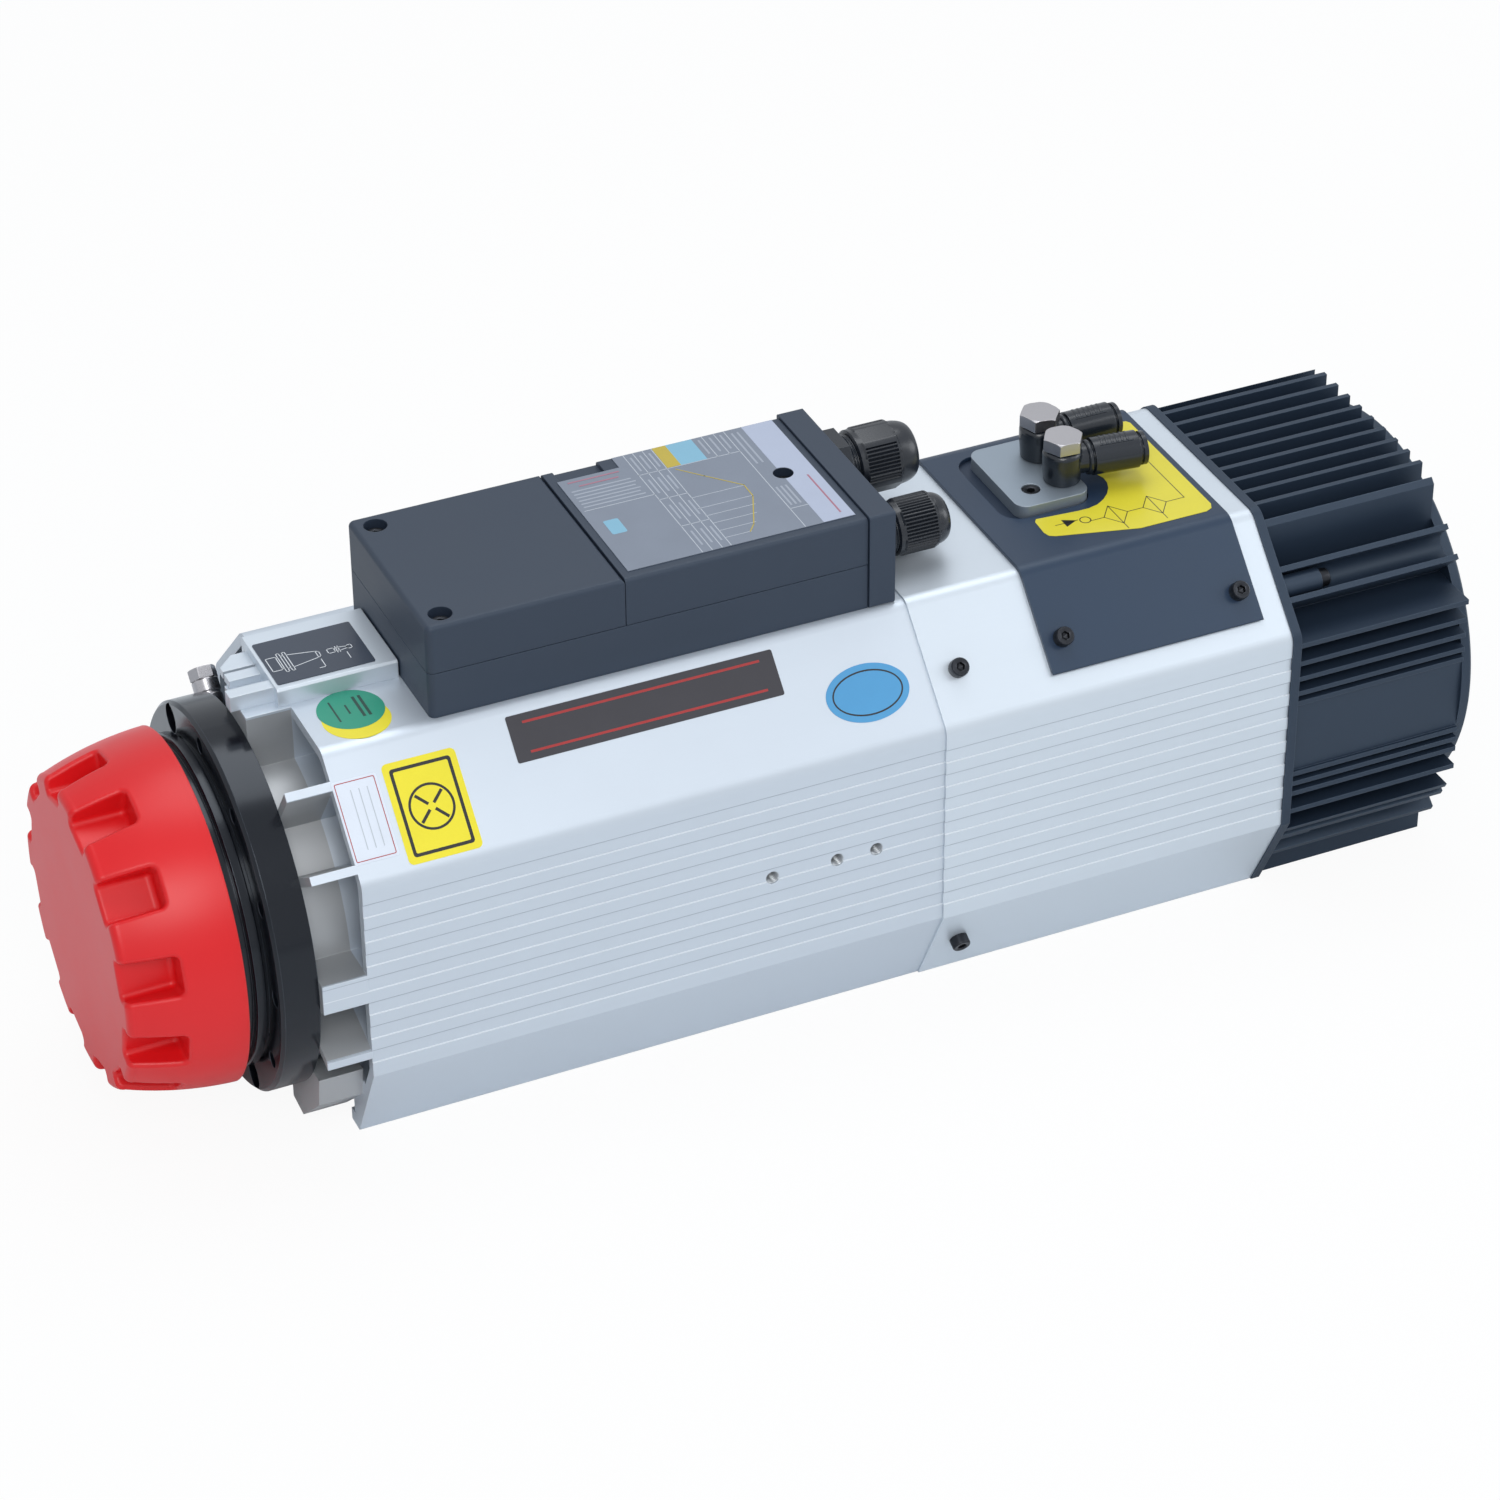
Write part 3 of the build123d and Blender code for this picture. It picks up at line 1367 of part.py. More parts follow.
def gland_nut(centre, neck, radius, bore, dome):
    """Clamping nut: cylinder with six flats, a domed end and the cable hole."""
    y, up = centre
    start = plate_end_x + gland_nut_start
    shoulder = start + gland_nut_length
    hole = bore + gland_wall
    crown = radius - gland_step
    gland_axis = Axis((0, y, body_height + up), (1, 0, 0))
    with BuildSketch(Plane.XZ.offset(-y)) as profile:
        with BuildLine() as path:
            base = body_height + up
            Polyline(
                (shoulder, base + radius), (start, base + radius), (start, base + neck + seat),
                (shoulder, base + neck + seat), (shoulder, base + hole),
                (shoulder + dome, base + hole),
            )
            ThreePointArc(
                (shoulder + dome, base + hole),
                (
                    shoulder + gland_dome_along * dome,
                    base + hole + gland_dome_out * (crown - hole),
                ),
                (shoulder, base + crown),
            )
            Line((shoulder, base + crown), (shoulder, base + radius))
        make_face(path.edges())
    revolve(profile.sketch, axis=gland_axis)
    with BuildSketch(gland_plane(start, y, up)) as profile:
        Circle(2 * radius)
        RegularPolygon(radius * gland_flat_ratio, 6, major_radius=False, mode=Mode.SUBTRACT)
    extrude(profile.sketch, amount=gland_nut_length, mode=Mode.SUBTRACT)


with BuildPart() as large_gland_body:
    gland_body(
        gland_centres[0], gland_neck_radii[0], gland_hex_flats[0],
        gland_seal_bores[0] + gland_wall,
    )
save(large_gland_body, "large_gland_body")

with BuildPart() as small_gland_body:
    gland_body(
        gland_centres[1], gland_neck_radii[1], gland_hex_flats[1],
        gland_seal_bores[1] + gland_wall,
    )
save(small_gland_body, "small_gland_body")

with BuildPart() as large_gland_nut:
    gland_nut(
        gland_centres[0], gland_neck_radii[0], gland_nut_radii[0], gland_seal_bores[0],
        gland_dome_lengths[0],
    )
save(large_gland_nut, "large_gland_nut")

with BuildPart() as small_gland_nut:
    gland_nut(
        gland_centres[1], gland_neck_radii[1], gland_nut_radii[1], gland_seal_bores[1],
        gland_dome_lengths[1],
    )
save(small_gland_nut, "small_gland_nut")

with BuildPart() as gland_seals:
    for (y, up), bore in zip(gland_centres, gland_seal_bores):
        with BuildSketch(gland_plane(plate_end_x + gland_neck_end - gland_tail, y, up)):
            Circle(bore + gland_wall - seat)
            Circle(bore, mode=Mode.SUBTRACT)
        extrude(amount=gland_tail + gland_nut_start + gland_nut_length - gland_neck_end)
save(gland_seals, "gland_seals")

# Bent cover plate over the top and chamfers of the rear housing
port_x = joint_x + port_plate_offset
with BuildPart() as cover_plate:
    cover_edge = slope_plane(joint_x, cover_drop, 1).origin.Z - axis_height
    with BuildSketch(axis_plane(joint_x + cover_from)):
        outline(rear_proud + cover_thickness)
        with BuildSketch(mode=Mode.PRIVATE) as inside:
            outline(rear_proud)
        add(inside.sketch, mode=Mode.SUBTRACT)
        with Locations((0, cover_edge)):
            Rectangle(
                2 * body_width, body_height, align=(Align.CENTER, Align.MIN),
                mode=Mode.INTERSECT,
            )
    extrude(amount=cover_to - cover_from)
    window_x = port_x + (port_window_rear - port_window_front) / 2
    window_y = port_plate_y + (port_window_far - port_window_near) / 2
    with BuildSketch(floor_plane(rear_top)):
        with Locations((window_x, window_y)):
            RectangleRounded(
                port_plate_length + port_window_front + port_window_rear,
                port_plate_width + port_window_near + port_window_far,
                port_window_radius,
            )
    extrude(amount=port_plate_height, mode=Mode.SUBTRACT)
    for plane in cover_screw_planes:
        drill(plane, small_screw_shank + seat, 2 * cover_thickness)
save(cover_plate, "cover_plate")

with BuildPart() as cover_screws:
    for plane in cover_screw_planes:
        screw(
            plane, small_screw_head, small_screw_head_length, small_screw_shank,
            small_screw_length - cover_thickness,
        )
save(cover_screws, "cover_screws")

# Port plate for the two air connections
with BuildPart() as port_plate:
    with BuildSketch(floor_plane(rear_top)):
        with Locations((port_x, port_plate_y)):
            RectangleRounded(port_plate_length, port_plate_width, port_plate_radius)
        with Locations(*[(joint_x + banjo_offset, y) for y in banjo_y]):
            Circle(banjo_shank + seat, mode=Mode.SUBTRACT)
        with Locations((joint_x + plate_screw_offset, plate_screw_y)):
            Circle(small_screw_shank + seat, mode=Mode.SUBTRACT)
    extrude(amount=port_plate_height)
    with BuildSketch(floor_plane(port_top)):
        with Locations((joint_x + plate_screw_offset, plate_screw_y)):
            Circle(small_screw_head + seat)
    extrude(amount=-(small_screw_head_length + plate_screw_sink), mode=Mode.SUBTRACT)
save(port_plate, "port_plate")

with BuildPart() as port_plate_screws:
    plate_screw_seat = port_top - small_screw_head_length - plate_screw_sink
    screw(
        Plane(origin=(joint_x + plate_screw_offset, plate_screw_y, plate_screw_seat)),
        small_screw_head, small_screw_head_length, small_screw_shank, small_screw_length,
    )
save(port_plate_screws, "port_plate_screws")

# Banjo bolts that hold the elbows
bolt_head_z = port_top + running + elbow_height + running
with BuildPart() as banjo_bolts:
    for y in banjo_y:
        with BuildSketch(floor_plane(rear_top - small_screw_length)):
            with Locations((joint_x + banjo_offset, y)):
                Circle(banjo_shank)
        extrude(amount=bolt_head_z - rear_top + small_screw_length)
        with BuildSketch(floor_plane(bolt_head_z)):
            with Locations((joint_x + banjo_offset, y)):
                RegularPolygon(banjo_head_flats / 2, 6, major_radius=False, rotation=banjo_turn)
        extrude(amount=banjo_head_height)
save(banjo_bolts, "banjo_bolts")
elbow_base = port_top + running
tube_z = elbow_base + elbow_radius - elbow_rise


def tube_plane(y, turn, reach):
    """Plane across an elbow's air tube at a distance from its banjo bolt."""
    outward = Vector(cos(radians(turn)), sin(radians(turn)), 0)
    across = Vector(-sin(radians(turn)), cos(radians(turn)), 0)
    centre = Vector(joint_x + banjo_offset, y, tube_z)
    return Plane(origin=centre + outward * reach, x_dir=across, z_dir=outward)


def elbow(y, turn):
    """Swivelling elbow: barrel round the banjo bolt and a tube socket turned by an angle."""
    centre_x = joint_x + banjo_offset
    barrel_axis = Axis((centre_x, y, 0), (0, 0, 1))
    with BuildSketch(Plane(origin=(centre_x, y, 0), x_dir=(1, 0, 0), z_dir=(0, -1, 0))) as profile:
        with BuildLine() as path:
            Polyline(
                (elbow_radius - elbow_shoulder, elbow_base + elbow_height),
                (0, elbow_base + elbow_height), (0, elbow_base),
                (elbow_foot_radius, elbow_base),
                (elbow_radius, elbow_base + elbow_flare * elbow_height),
                (elbow_radius, elbow_base + elbow_height - elbow_shoulder),
            )
            TangentArc(
                (elbow_radius, elbow_base + elbow_height - elbow_shoulder),
                (elbow_radius - elbow_shoulder, elbow_base + elbow_height),
                tangent=(0, 1),
            )
        make_face(path.edges())
    revolve(profile.sketch, axis=barrel_axis)
    with BuildSketch(tube_plane(y, turn, 0)) as profile:
        Circle(elbow_neck_radius)
    extrude(profile.sketch, amount=elbow_neck_end)
    with BuildSketch(tube_plane(y, turn, elbow_neck_end)) as profile:
        Circle(elbow_tube_radius)
    extrude(profile.sketch, amount=elbow_reach - elbow_neck_end)
    with BuildSketch(tube_plane(y, turn, elbow_reach)) as profile:
        Circle(tube_socket_radius)
    extrude(profile.sketch, amount=-tube_socket_depth, mode=Mode.SUBTRACT)
    with BuildSketch(tube_plane(y, turn, elbow_reach)) as profile:
        Circle(release_sleeve_radius + seat)
    extrude(
        profile.sketch, amount=-(release_sleeve_length + release_travel + running),
        mode=Mode.SUBTRACT,
    )
    with BuildSketch(floor_plane(elbow_base)) as profile:
        with Locations((centre_x, y)):
            Circle(banjo_shank + seat)
    extrude(profile.sketch, amount=elbow_height, mode=Mode.SUBTRACT)


def release_ring(y, turn):
    """Ring that is pushed in to free the air tube."""
    lip = tube_plane(y, turn, elbow_reach + release_travel + running)
    with BuildSketch(lip) as profile:
        Circle(release_sleeve_radius)
        Circle(tube_socket_radius, mode=Mode.SUBTRACT)
    extrude(profile.sketch, amount=-(release_travel + release_sleeve_length))
    with BuildSketch(lip) as profile:
        Circle(release_lip_radius)
        Circle(tube_socket_radius, mode=Mode.SUBTRACT)
    extrude(profile.sketch, amount=release_lip)


with BuildPart() as elbow_near:
    elbow(banjo_y[0], elbow_turns[0])
save(elbow_near, "elbow_near")

with BuildPart() as elbow_far:
    elbow(banjo_y[1], elbow_turns[1])
save(elbow_far, "elbow_far")

with BuildPart() as release_ring_near:
    release_ring(banjo_y[0], elbow_turns[0])
save(release_ring_near, "release_ring_near")

with BuildPart() as release_ring_far:
    release_ring(banjo_y[1], elbow_turns[1])
save(release_ring_far, "release_ring_far")

# Sensor block on the front of the housing top, with the strip and bars in front of it
with BuildPart() as sensor_block:
    block_from_x = joint_x - sensor_block_from
    block_to_x = joint_x - sensor_block_to
    with BuildSketch(floor_plane(body_height)):
        with Locations((block_from_x, sensor_block_near)):
            Rectangle(
                block_to_x - block_from_x, sensor_block_far - sensor_block_near,
                align=(Align.MIN, Align.MIN),
            )
    extrude(amount=sensor_block_height)
    chamfer(edges().group_by(Axis.Z)[-1].filter_by(Axis.X), sensor_block_edge)
    with BuildSketch(floor_plane(body_height)):
        with Locations((block_from_x, sensor_strip_near)):
            Rectangle(
                sensor_strip_from - sensor_block_from, sensor_strip_far - sensor_strip_near,
                align=(Align.MAX, Align.MIN),
            )
    extrude(amount=sensor_strip_height)
    with BuildSketch(floor_plane(body_height)):
        for near, far in sensor_bars:
            with Locations((block_from_x, near)):
                Rectangle(
                    sensor_bar_from - sensor_block_from, far - near, align=(Align.MAX, Align.MIN)
                )
        chamfer(vertices().sort_by(Axis.X)[:4].sort_by(Axis.Y)[-1], sensor_bar_corner)
    extrude(amount=sensor_bar_height)
save(sensor_block, "sensor_block")
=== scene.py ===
"""Looks of the air-cooled tool-change motor spindle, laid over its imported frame.

Shapes are written in millimetres in the frame of the CAD model and scaled when a mesh is made.
"""
from math import cos, pi, radians, sin, sqrt

import bmesh
import bpy
from mathutils import Matrix, Vector


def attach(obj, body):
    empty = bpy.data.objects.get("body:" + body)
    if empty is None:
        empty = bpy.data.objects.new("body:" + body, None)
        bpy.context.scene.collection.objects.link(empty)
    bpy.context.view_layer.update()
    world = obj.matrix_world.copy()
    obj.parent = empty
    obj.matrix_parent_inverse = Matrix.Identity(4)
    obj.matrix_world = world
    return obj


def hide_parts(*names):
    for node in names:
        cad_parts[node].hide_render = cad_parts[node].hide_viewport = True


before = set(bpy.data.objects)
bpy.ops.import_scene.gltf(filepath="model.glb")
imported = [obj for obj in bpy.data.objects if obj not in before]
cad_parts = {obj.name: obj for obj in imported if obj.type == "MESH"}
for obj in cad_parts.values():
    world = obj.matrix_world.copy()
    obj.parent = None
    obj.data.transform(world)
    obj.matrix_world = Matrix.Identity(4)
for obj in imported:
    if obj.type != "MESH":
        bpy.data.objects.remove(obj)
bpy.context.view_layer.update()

MM = 0.001
# Joint of the housings, height of the spindle's axis and of the body's top
JOINT = 118.75
AXIS_Z = 75.5
BODY_TOP = 155.0
# Back of the terminal box's end plate
PLATE_END = JOINT - 3.4
# Ways out of the upper and the lower chamfer on the far side, in Y and Z
UPPER_OUT = (0.7112, 0.7030)
LOWER_OUT = (0.8897, -0.4566)


def rgb(red, green, blue):
    """Linear colour from display values of 0 to 255."""
    values = []
    for value in (red, green, blue):
        value /= 255.0
        values.append(value / 12.92 if value <= 0.04045 else ((value + 0.055) / 1.055) ** 2.4)
    return (*values, 1.0)


def shade(colour, factor):
    """The same colour, lighter or darker."""
    return (*(min(1.0, channel * factor) for channel in colour[:3]), 1.0)


def math_node(nodes, links, operation, *values):
    """Math node whose inputs are sockets or numbers; gives its output."""
    made = nodes.new("ShaderNodeMath")
    made.operation = operation
    for slot, value in zip(made.inputs, values):
        if isinstance(value, (int, float)):
            slot.default_value = value
        else:
            links.new(value, slot)
    return made.outputs[0]


# Camera at the photograph's viewing angle
camera_data = bpy.data.cameras.new("camera")
camera = bpy.data.objects.new("camera", camera_data)
bpy.context.scene.collection.objects.link(camera)
camera_data.sensor_width = 36.0
camera_data.lens = 117.33
camera_data.clip_end = 20.0
azimuth, elevation, roll = radians(-24.14), radians(34.87), radians(-0.44)
back = Vector((
    sin(azimuth) * cos(elevation), -cos(azimuth) * cos(elevation), sin(elevation)
))
right = Vector((cos(azimuth), sin(azimuth), 0.0))
up = back.cross(right)
camera_x = cos(roll) * right + sin(roll) * up
camera_y = -sin(roll) * right + cos(roll) * up
turn = Matrix((camera_x, camera_y, back)).transposed().to_4x4()
camera.matrix_world = Matrix.Translation((-0.52755, -1.3470, 1.1062)) @ turn
bpy.context.scene.camera = camera


# Light: a pale room with soft lamps
def lamp(name, place, target, size, power, colour=(1.0, 1.0, 1.0)):
    """Square area lamp at a place, pointed at a target."""
    data = bpy.data.lights.new(name, "AREA")
    data.shape = "SQUARE"
    data.size = size
    data.energy = power
    data.color = colour
    made = bpy.data.objects.new(name, data)
    bpy.context.scene.collection.objects.link(made)
    way = Vector(target) - Vector(place)
    made.rotation_euler = way.to_track_quat("-Z", "Y").to_euler()
    made.location = place


lamp("key_lamp", (-0.5, -1.5, 1.5), (0.0, 0.0, 0.1), 0.9, 15.5)
lamp("top_lamp", (0.3, 0.5, 1.9), (0.0, 0.0, 0.1), 1.2, 12.0, (0.94, 0.97, 1.0))
lamp("side_lamp", (1.7, -0.7, 0.8), (0.1, 0.0, 0.1), 0.8, 6.0, (0.94, 0.97, 1.0))
lamp("rear_lamp", (1.15, -0.95, 1.30), (0.25, 0.0, 0.1), 0.5, 1.5, (0.94, 0.97, 1.0))

world = bpy.data.worlds.new("room")
bpy.context.scene.world = world
world.use_nodes = True
nodes, links = world.node_tree.nodes, world.node_tree.links
nodes.clear()
path = nodes.new("ShaderNodeLightPath")
seen = math_node(
    nodes, links, "MAXIMUM", path.outputs["Is Camera Ray"], path.outputs["Is Transmission Ray"]
)
backgrounds = []
for colour, strength in (
    ((0.86, 0.93, 1.0, 1.0), 0.50), ((0.93, 0.96, 1.0, 1.0), 0.85), ((1.0, 1.0, 1.0, 1.0), 1.0),
):
    background = nodes.new("ShaderNodeBackground")
    background.inputs["Color"].default_value = colour
    background.inputs["Strength"].default_value = strength
    backgrounds.append(background)
room, gloss, white = backgrounds
first = nodes.new("ShaderNodeMixShader")
second = nodes.new("ShaderNodeMixShader")
output = nodes.new("ShaderNodeOutputWorld")
links.new(path.outputs["Is Glossy Ray"], first.inputs[0])
links.new(room.outputs[0], first.inputs[1])
links.new(gloss.outputs[0], first.inputs[2])
links.new(seen, second.inputs[0])
links.new(first.outputs[0], second.inputs[1])
links.new(white.outputs[0], second.inputs[2])
links.new(second.outputs[0], output.inputs[0])
bpy.context.scene.view_settings.view_transform = "Standard"

# Floor: pale, with only a faint shadow
floor_mesh = bpy.data.meshes.new("floor")
FLOOR_HALF, FLOOR_Z, FLOOR_FADE = 6.0, -0.0002, 0.93
floor_mesh.from_pydata(
    [(-FLOOR_HALF, -FLOOR_HALF, FLOOR_Z), (FLOOR_HALF, -FLOOR_HALF, FLOOR_Z),
     (FLOOR_HALF, FLOOR_HALF, FLOOR_Z), (-FLOOR_HALF, FLOOR_HALF, FLOOR_Z)],
    [], [(0, 1, 2, 3)],
)
floor = bpy.data.objects.new("floor", floor_mesh)
bpy.context.scene.collection.objects.link(floor)
floor_material = bpy.data.materials.new("floor")
floor_material.use_nodes = True
nodes, links = floor_material.node_tree.nodes, floor_material.node_tree.links
nodes.clear()
path = nodes.new("ShaderNodeLightPath")
fade = math_node(nodes, links, "MULTIPLY", path.outputs["Is Camera Ray"], FLOOR_FADE)
pale = nodes.new("ShaderNodeBsdfDiffuse")
pale.inputs["Color"].default_value = (0.86, 0.87, 0.88, 1.0)
glow = nodes.new("ShaderNodeEmission")
glow.inputs["Color"].default_value = (1.0, 1.0, 1.0, 1.0)
glow.inputs["Strength"].default_value = 1.0
mixed = nodes.new("ShaderNodeMixShader")
output = nodes.new("ShaderNodeOutputMaterial")
links.new(fade, mixed.inputs[0])
links.new(pale.outputs[0], mixed.inputs[1])
links.new(glow.outputs[0], mixed.inputs[2])
links.new(mixed.outputs[0], output.inputs[0])
floor_mesh.materials.append(floor_material)


# Materials
def surface(
    name, colour, rough, metal=0.0, specular=0.5, coat=0.0, stretch=(1.0, 1.0, 1.0),
    grain=2.0, tint=0.05, cloud=0.03, patch=0.06, bump=0.05, depth=0.05, edge=None,
    edge_radius=0.5, edge_amount=0.6, rounding=0.35, tinge=(1.0, 1.0, 1.0),
):
    """Principled material with fine grain, cloudy variation, rounded edges and an edge colour:
    wear on most finishes, a painted highlight on the red cap and the gloss black.

    Grain and cloud are in cycles per millimetre; stretch shrinks them along an axis.
    """
    made = bpy.data.materials.new(name)
    made.use_nodes = True
    nodes, links = made.node_tree.nodes, made.node_tree.links
    nodes.clear()
    output = nodes.new("ShaderNodeOutputMaterial")
    shader = nodes.new("ShaderNodeBsdfPrincipled")
    links.new(shader.outputs[0], output.inputs[0])
    shader.inputs["Metallic"].default_value = metal
    shader.inputs["Specular IOR Level"].default_value = specular
    shader.inputs["Specular Tint"].default_value = (*tinge, 1.0)
    shader.inputs["Coat Weight"].default_value = coat
    shader.inputs["Coat Roughness"].default_value = 0.12
    place = nodes.new("ShaderNodeTexCoord")
    spread = nodes.new("ShaderNodeMapping")
    spread.inputs["Scale"].default_value = [1000.0 * value for value in stretch]
    links.new(place.outputs["Object"], spread.inputs["Vector"])
    plain = nodes.new("ShaderNodeMapping")
    plain.inputs["Scale"].default_value = (1000.0, 1000.0, 1000.0)
    links.new(place.outputs["Object"], plain.inputs["Vector"])

    fine = nodes.new("ShaderNodeTexNoise")
    fine.inputs["Scale"].default_value = grain
    fine.inputs["Detail"].default_value = 4.0
    fine.inputs["Roughness"].default_value = 0.6
    links.new(spread.outputs[0], fine.inputs["Vector"])
    broad = nodes.new("ShaderNodeTexNoise")
    broad.inputs["Scale"].default_value = cloud
    broad.inputs["Detail"].default_value = 3.0
    links.new(plain.outputs[0], broad.inputs["Vector"])

    tones = nodes.new("ShaderNodeMix")
    tones.data_type = "RGBA"
    tones.inputs[6].default_value = shade(colour, 1.0 - patch)
    tones.inputs[7].default_value = shade(colour, 1.0 + patch)
    links.new(broad.outputs["Fac"], tones.inputs[0])
    speckle = nodes.new("ShaderNodeMix")
    speckle.data_type = "RGBA"
    speckle.blend_type = "MULTIPLY"
    speckle.inputs[0].default_value = 1.0
    lifted = nodes.new("ShaderNodeMapRange")
    lifted.inputs["To Min"].default_value = 1.0 - tint
    lifted.inputs["To Max"].default_value = 1.0 + tint
    links.new(fine.outputs["Fac"], lifted.inputs["Value"])
    links.new(tones.outputs[2], speckle.inputs[6])
    links.new(lifted.outputs[0], speckle.inputs[7])
    base = speckle.outputs[2]

    rounded_normal = nodes.new("ShaderNodeBevel")
    rounded_normal.samples = 6
    rounded_normal.inputs["Radius"].default_value = rounding * MM
    # Edge colour: wear on most finishes, a painted highlight on the red cap and the gloss black
    if edge is not None:
        geometry = nodes.new("ShaderNodeNewGeometry")
        wide = nodes.new("ShaderNodeBevel")
        wide.samples = 6
        wide.inputs["Radius"].default_value = edge_radius * MM
        match = nodes.new("ShaderNodeVectorMath")
        match.operation = "DOT_PRODUCT"
        links.new(geometry.outputs["Normal"], match.inputs[0])
        links.new(wide.outputs[0], match.inputs[1])
        rim = nodes.new("ShaderNodeMapRange")
        rim.inputs["From Min"].default_value = 0.98
        rim.inputs["From Max"].default_value = 0.80
        rim.inputs["To Min"].default_value = 0.0
        rim.inputs["To Max"].default_value = edge_amount
        links.new(match.outputs["Value"], rim.inputs["Value"])
        broken = math_node(nodes, links, "MULTIPLY", rim.outputs[0], fine.outputs["Fac"])
        edge_wear_and_highlight = nodes.new("ShaderNodeMix")
        edge_wear_and_highlight.data_type = "RGBA"
        edge_wear_and_highlight.inputs[7].default_value = edge
        links.new(broken, edge_wear_and_highlight.inputs[0])
        links.new(base, edge_wear_and_highlight.inputs[6])
        base = edge_wear_and_highlight.outputs[2]
    links.new(base, shader.inputs["Base Color"])

    roughness = nodes.new("ShaderNodeMapRange")
    roughness.inputs["To Min"].default_value = max(0.02, rough - 0.09)
    roughness.inputs["To Max"].default_value = min(1.0, rough + 0.09)
    both = math_node(nodes, links, "ADD", fine.outputs["Fac"], broad.outputs["Fac"])
    halved = math_node(nodes, links, "MULTIPLY", both, 0.5)
    links.new(halved, roughness.inputs["Value"])
    links.new(roughness.outputs[0], shader.inputs["Roughness"])

    relief = nodes.new("ShaderNodeBump")
    relief.inputs["Strength"].default_value = bump
    relief.inputs["Distance"].default_value = depth * MM
    links.new(fine.outputs["Fac"], relief.inputs["Height"])
    links.new(rounded_normal.outputs[0], relief.inputs["Normal"])
    links.new(relief.outputs[0], shader.inputs["Normal"])
    return made


def extrusion(name, colour, rough):
    """Anodised extruded aluminium with its grain along X."""
    return surface(
        name, colour, rough, metal=0.55, stretch=(0.015, 1.0, 1.0), grain=4.0, tint=0.014,
        patch=0.015, bump=0.07, depth=0.01, edge=rgb(240, 243, 246), rounding=0.4,
    )


aluminium = extrusion("anodised_extrusion", rgb(208, 216, 224), 0.42)
pocketed = extrusion("anodised_front", rgb(203, 211, 220), 0.44)


def product(nodes, links, *masks):
    """Masks multiplied together: 1 only where all of them are 1."""
    whole = masks[0]
    for mask in masks[1:]:
        whole = math_node(nodes, links, "MULTIPLY", whole, mask)
    return whole


def mix_over(material, mask, colour):
    """Mixes a colour over a material's base colour where a mask is 1."""
    nodes, links = material.node_tree.nodes, material.node_tree.links
    shader = next(node for node in nodes if node.type == "BSDF_PRINCIPLED")
    base = shader.inputs["Base Color"].links[0].from_socket
    over = nodes.new("ShaderNodeMix")
    over.data_type = "RGBA"
    over.inputs[7].default_value = colour
    links.new(mask, over.inputs[0])
    links.new(base, over.inputs[6])
    links.new(over.outputs[2], shader.inputs["Base Color"])


def place_axes(material):
    """Node tree of a material with the place split into X, distance from the middle, and Z."""
    nodes, links = material.node_tree.nodes, material.node_tree.links
    place = nodes.new("ShaderNodeTexCoord")
    split = nodes.new("ShaderNodeSeparateXYZ")
    links.new(place.outputs["Object"], split.inputs[0])
    x, y, z = split.outputs
    return nodes, links, x, math_node(nodes, links, "ABSOLUTE", y), z


# Painted highlight along the lower edge and painted shadow along the upper edge of each side
# groove
GROOVE_FIRST, GROOVE_PITCH, GROOVE_WIDTH, GROOVE_COUNT = 47.1, 10.45, 5.2, 7
SIDE_SKIN = 74.3
for material in (aluminium, pocketed):
    for level, width, amount, colour in (
        (0.0, 0.35, 0.5, rgb(246, 249, 252)), (5.4, 0.3, 0.45, rgb(112, 124, 140)),
    ):
        nodes, links, x, y, z = place_axes(material)
        first = (GROOVE_FIRST - GROOVE_WIDTH / 2 - 0.25 + level) * MM
        height = math_node(nodes, links, "SUBTRACT", z, first)
        turns = math_node(nodes, links, "DIVIDE", height, GROOVE_PITCH * MM)
        line = math_node(nodes, links, "FRACT", turns)
        mask = product(
            nodes, links,
            math_node(nodes, links, "LESS_THAN", line, width / GROOVE_PITCH),
            math_node(nodes, links, "GREATER_THAN", turns, 0.0),
            math_node(nodes, links, "LESS_THAN", turns, GROOVE_COUNT - 0.5),
            math_node(nodes, links, "GREATER_THAN", y, SIDE_SKIN * MM),
            amount,
        )
        mix_over(material, mask, colour)

# Painted shade on the rear housing's top under the cover plate, which shows dark in the window
# round the port plate
SHADE_FROM, SHADE_TO, SHADE_ABOVE = JOINT + 45.5, JOINT + 130.5, 155.6
nodes, links, x, y, z = place_axes(aluminium)
mask = product(
    nodes, links,
    math_node(nodes, links, "GREATER_THAN", x, SHADE_FROM * MM),
    math_node(nodes, links, "LESS_THAN", x, SHADE_TO * MM),
    math_node(nodes, links, "GREATER_THAN", z, SHADE_ABOVE * MM),
)
mix_over(aluminium, mask, rgb(44, 56, 74))

# Surfaces inside the pockets at the nose, ahead of their end and inside the outline: a greyer
# colour for their milled finish, darkened as painted shade of the recess
POCKET_END, POCKET_SIDE, POCKET_TOP, POCKET_UPPER, POCKET_LOWER = -102.3, 74.2, 154.0, 137.2, 48.4
nodes, links, x, y, z = place_axes(pocketed)
slope = math_node(
    nodes, links, "ADD", math_node(nodes, links, "MULTIPLY", y, UPPER_OUT[0]),
    math_node(nodes, links, "MULTIPLY", z, UPPER_OUT[1]),
)
low_slope = math_node(
    nodes, links, "SUBTRACT", math_node(nodes, links, "MULTIPLY", y, LOWER_OUT[0]),
    math_node(nodes, links, "MULTIPLY", z, -LOWER_OUT[1]),
)
mask = product(nodes, links, *(
    math_node(nodes, links, "LESS_THAN", place, limit * MM)
    for place, limit in (
        (x, POCKET_END), (slope, POCKET_UPPER), (y, POCKET_SIDE), (z, POCKET_TOP),
        (low_slope, POCKET_LOWER),
    )
))
mix_over(pocketed, mask, rgb(178, 180, 182))

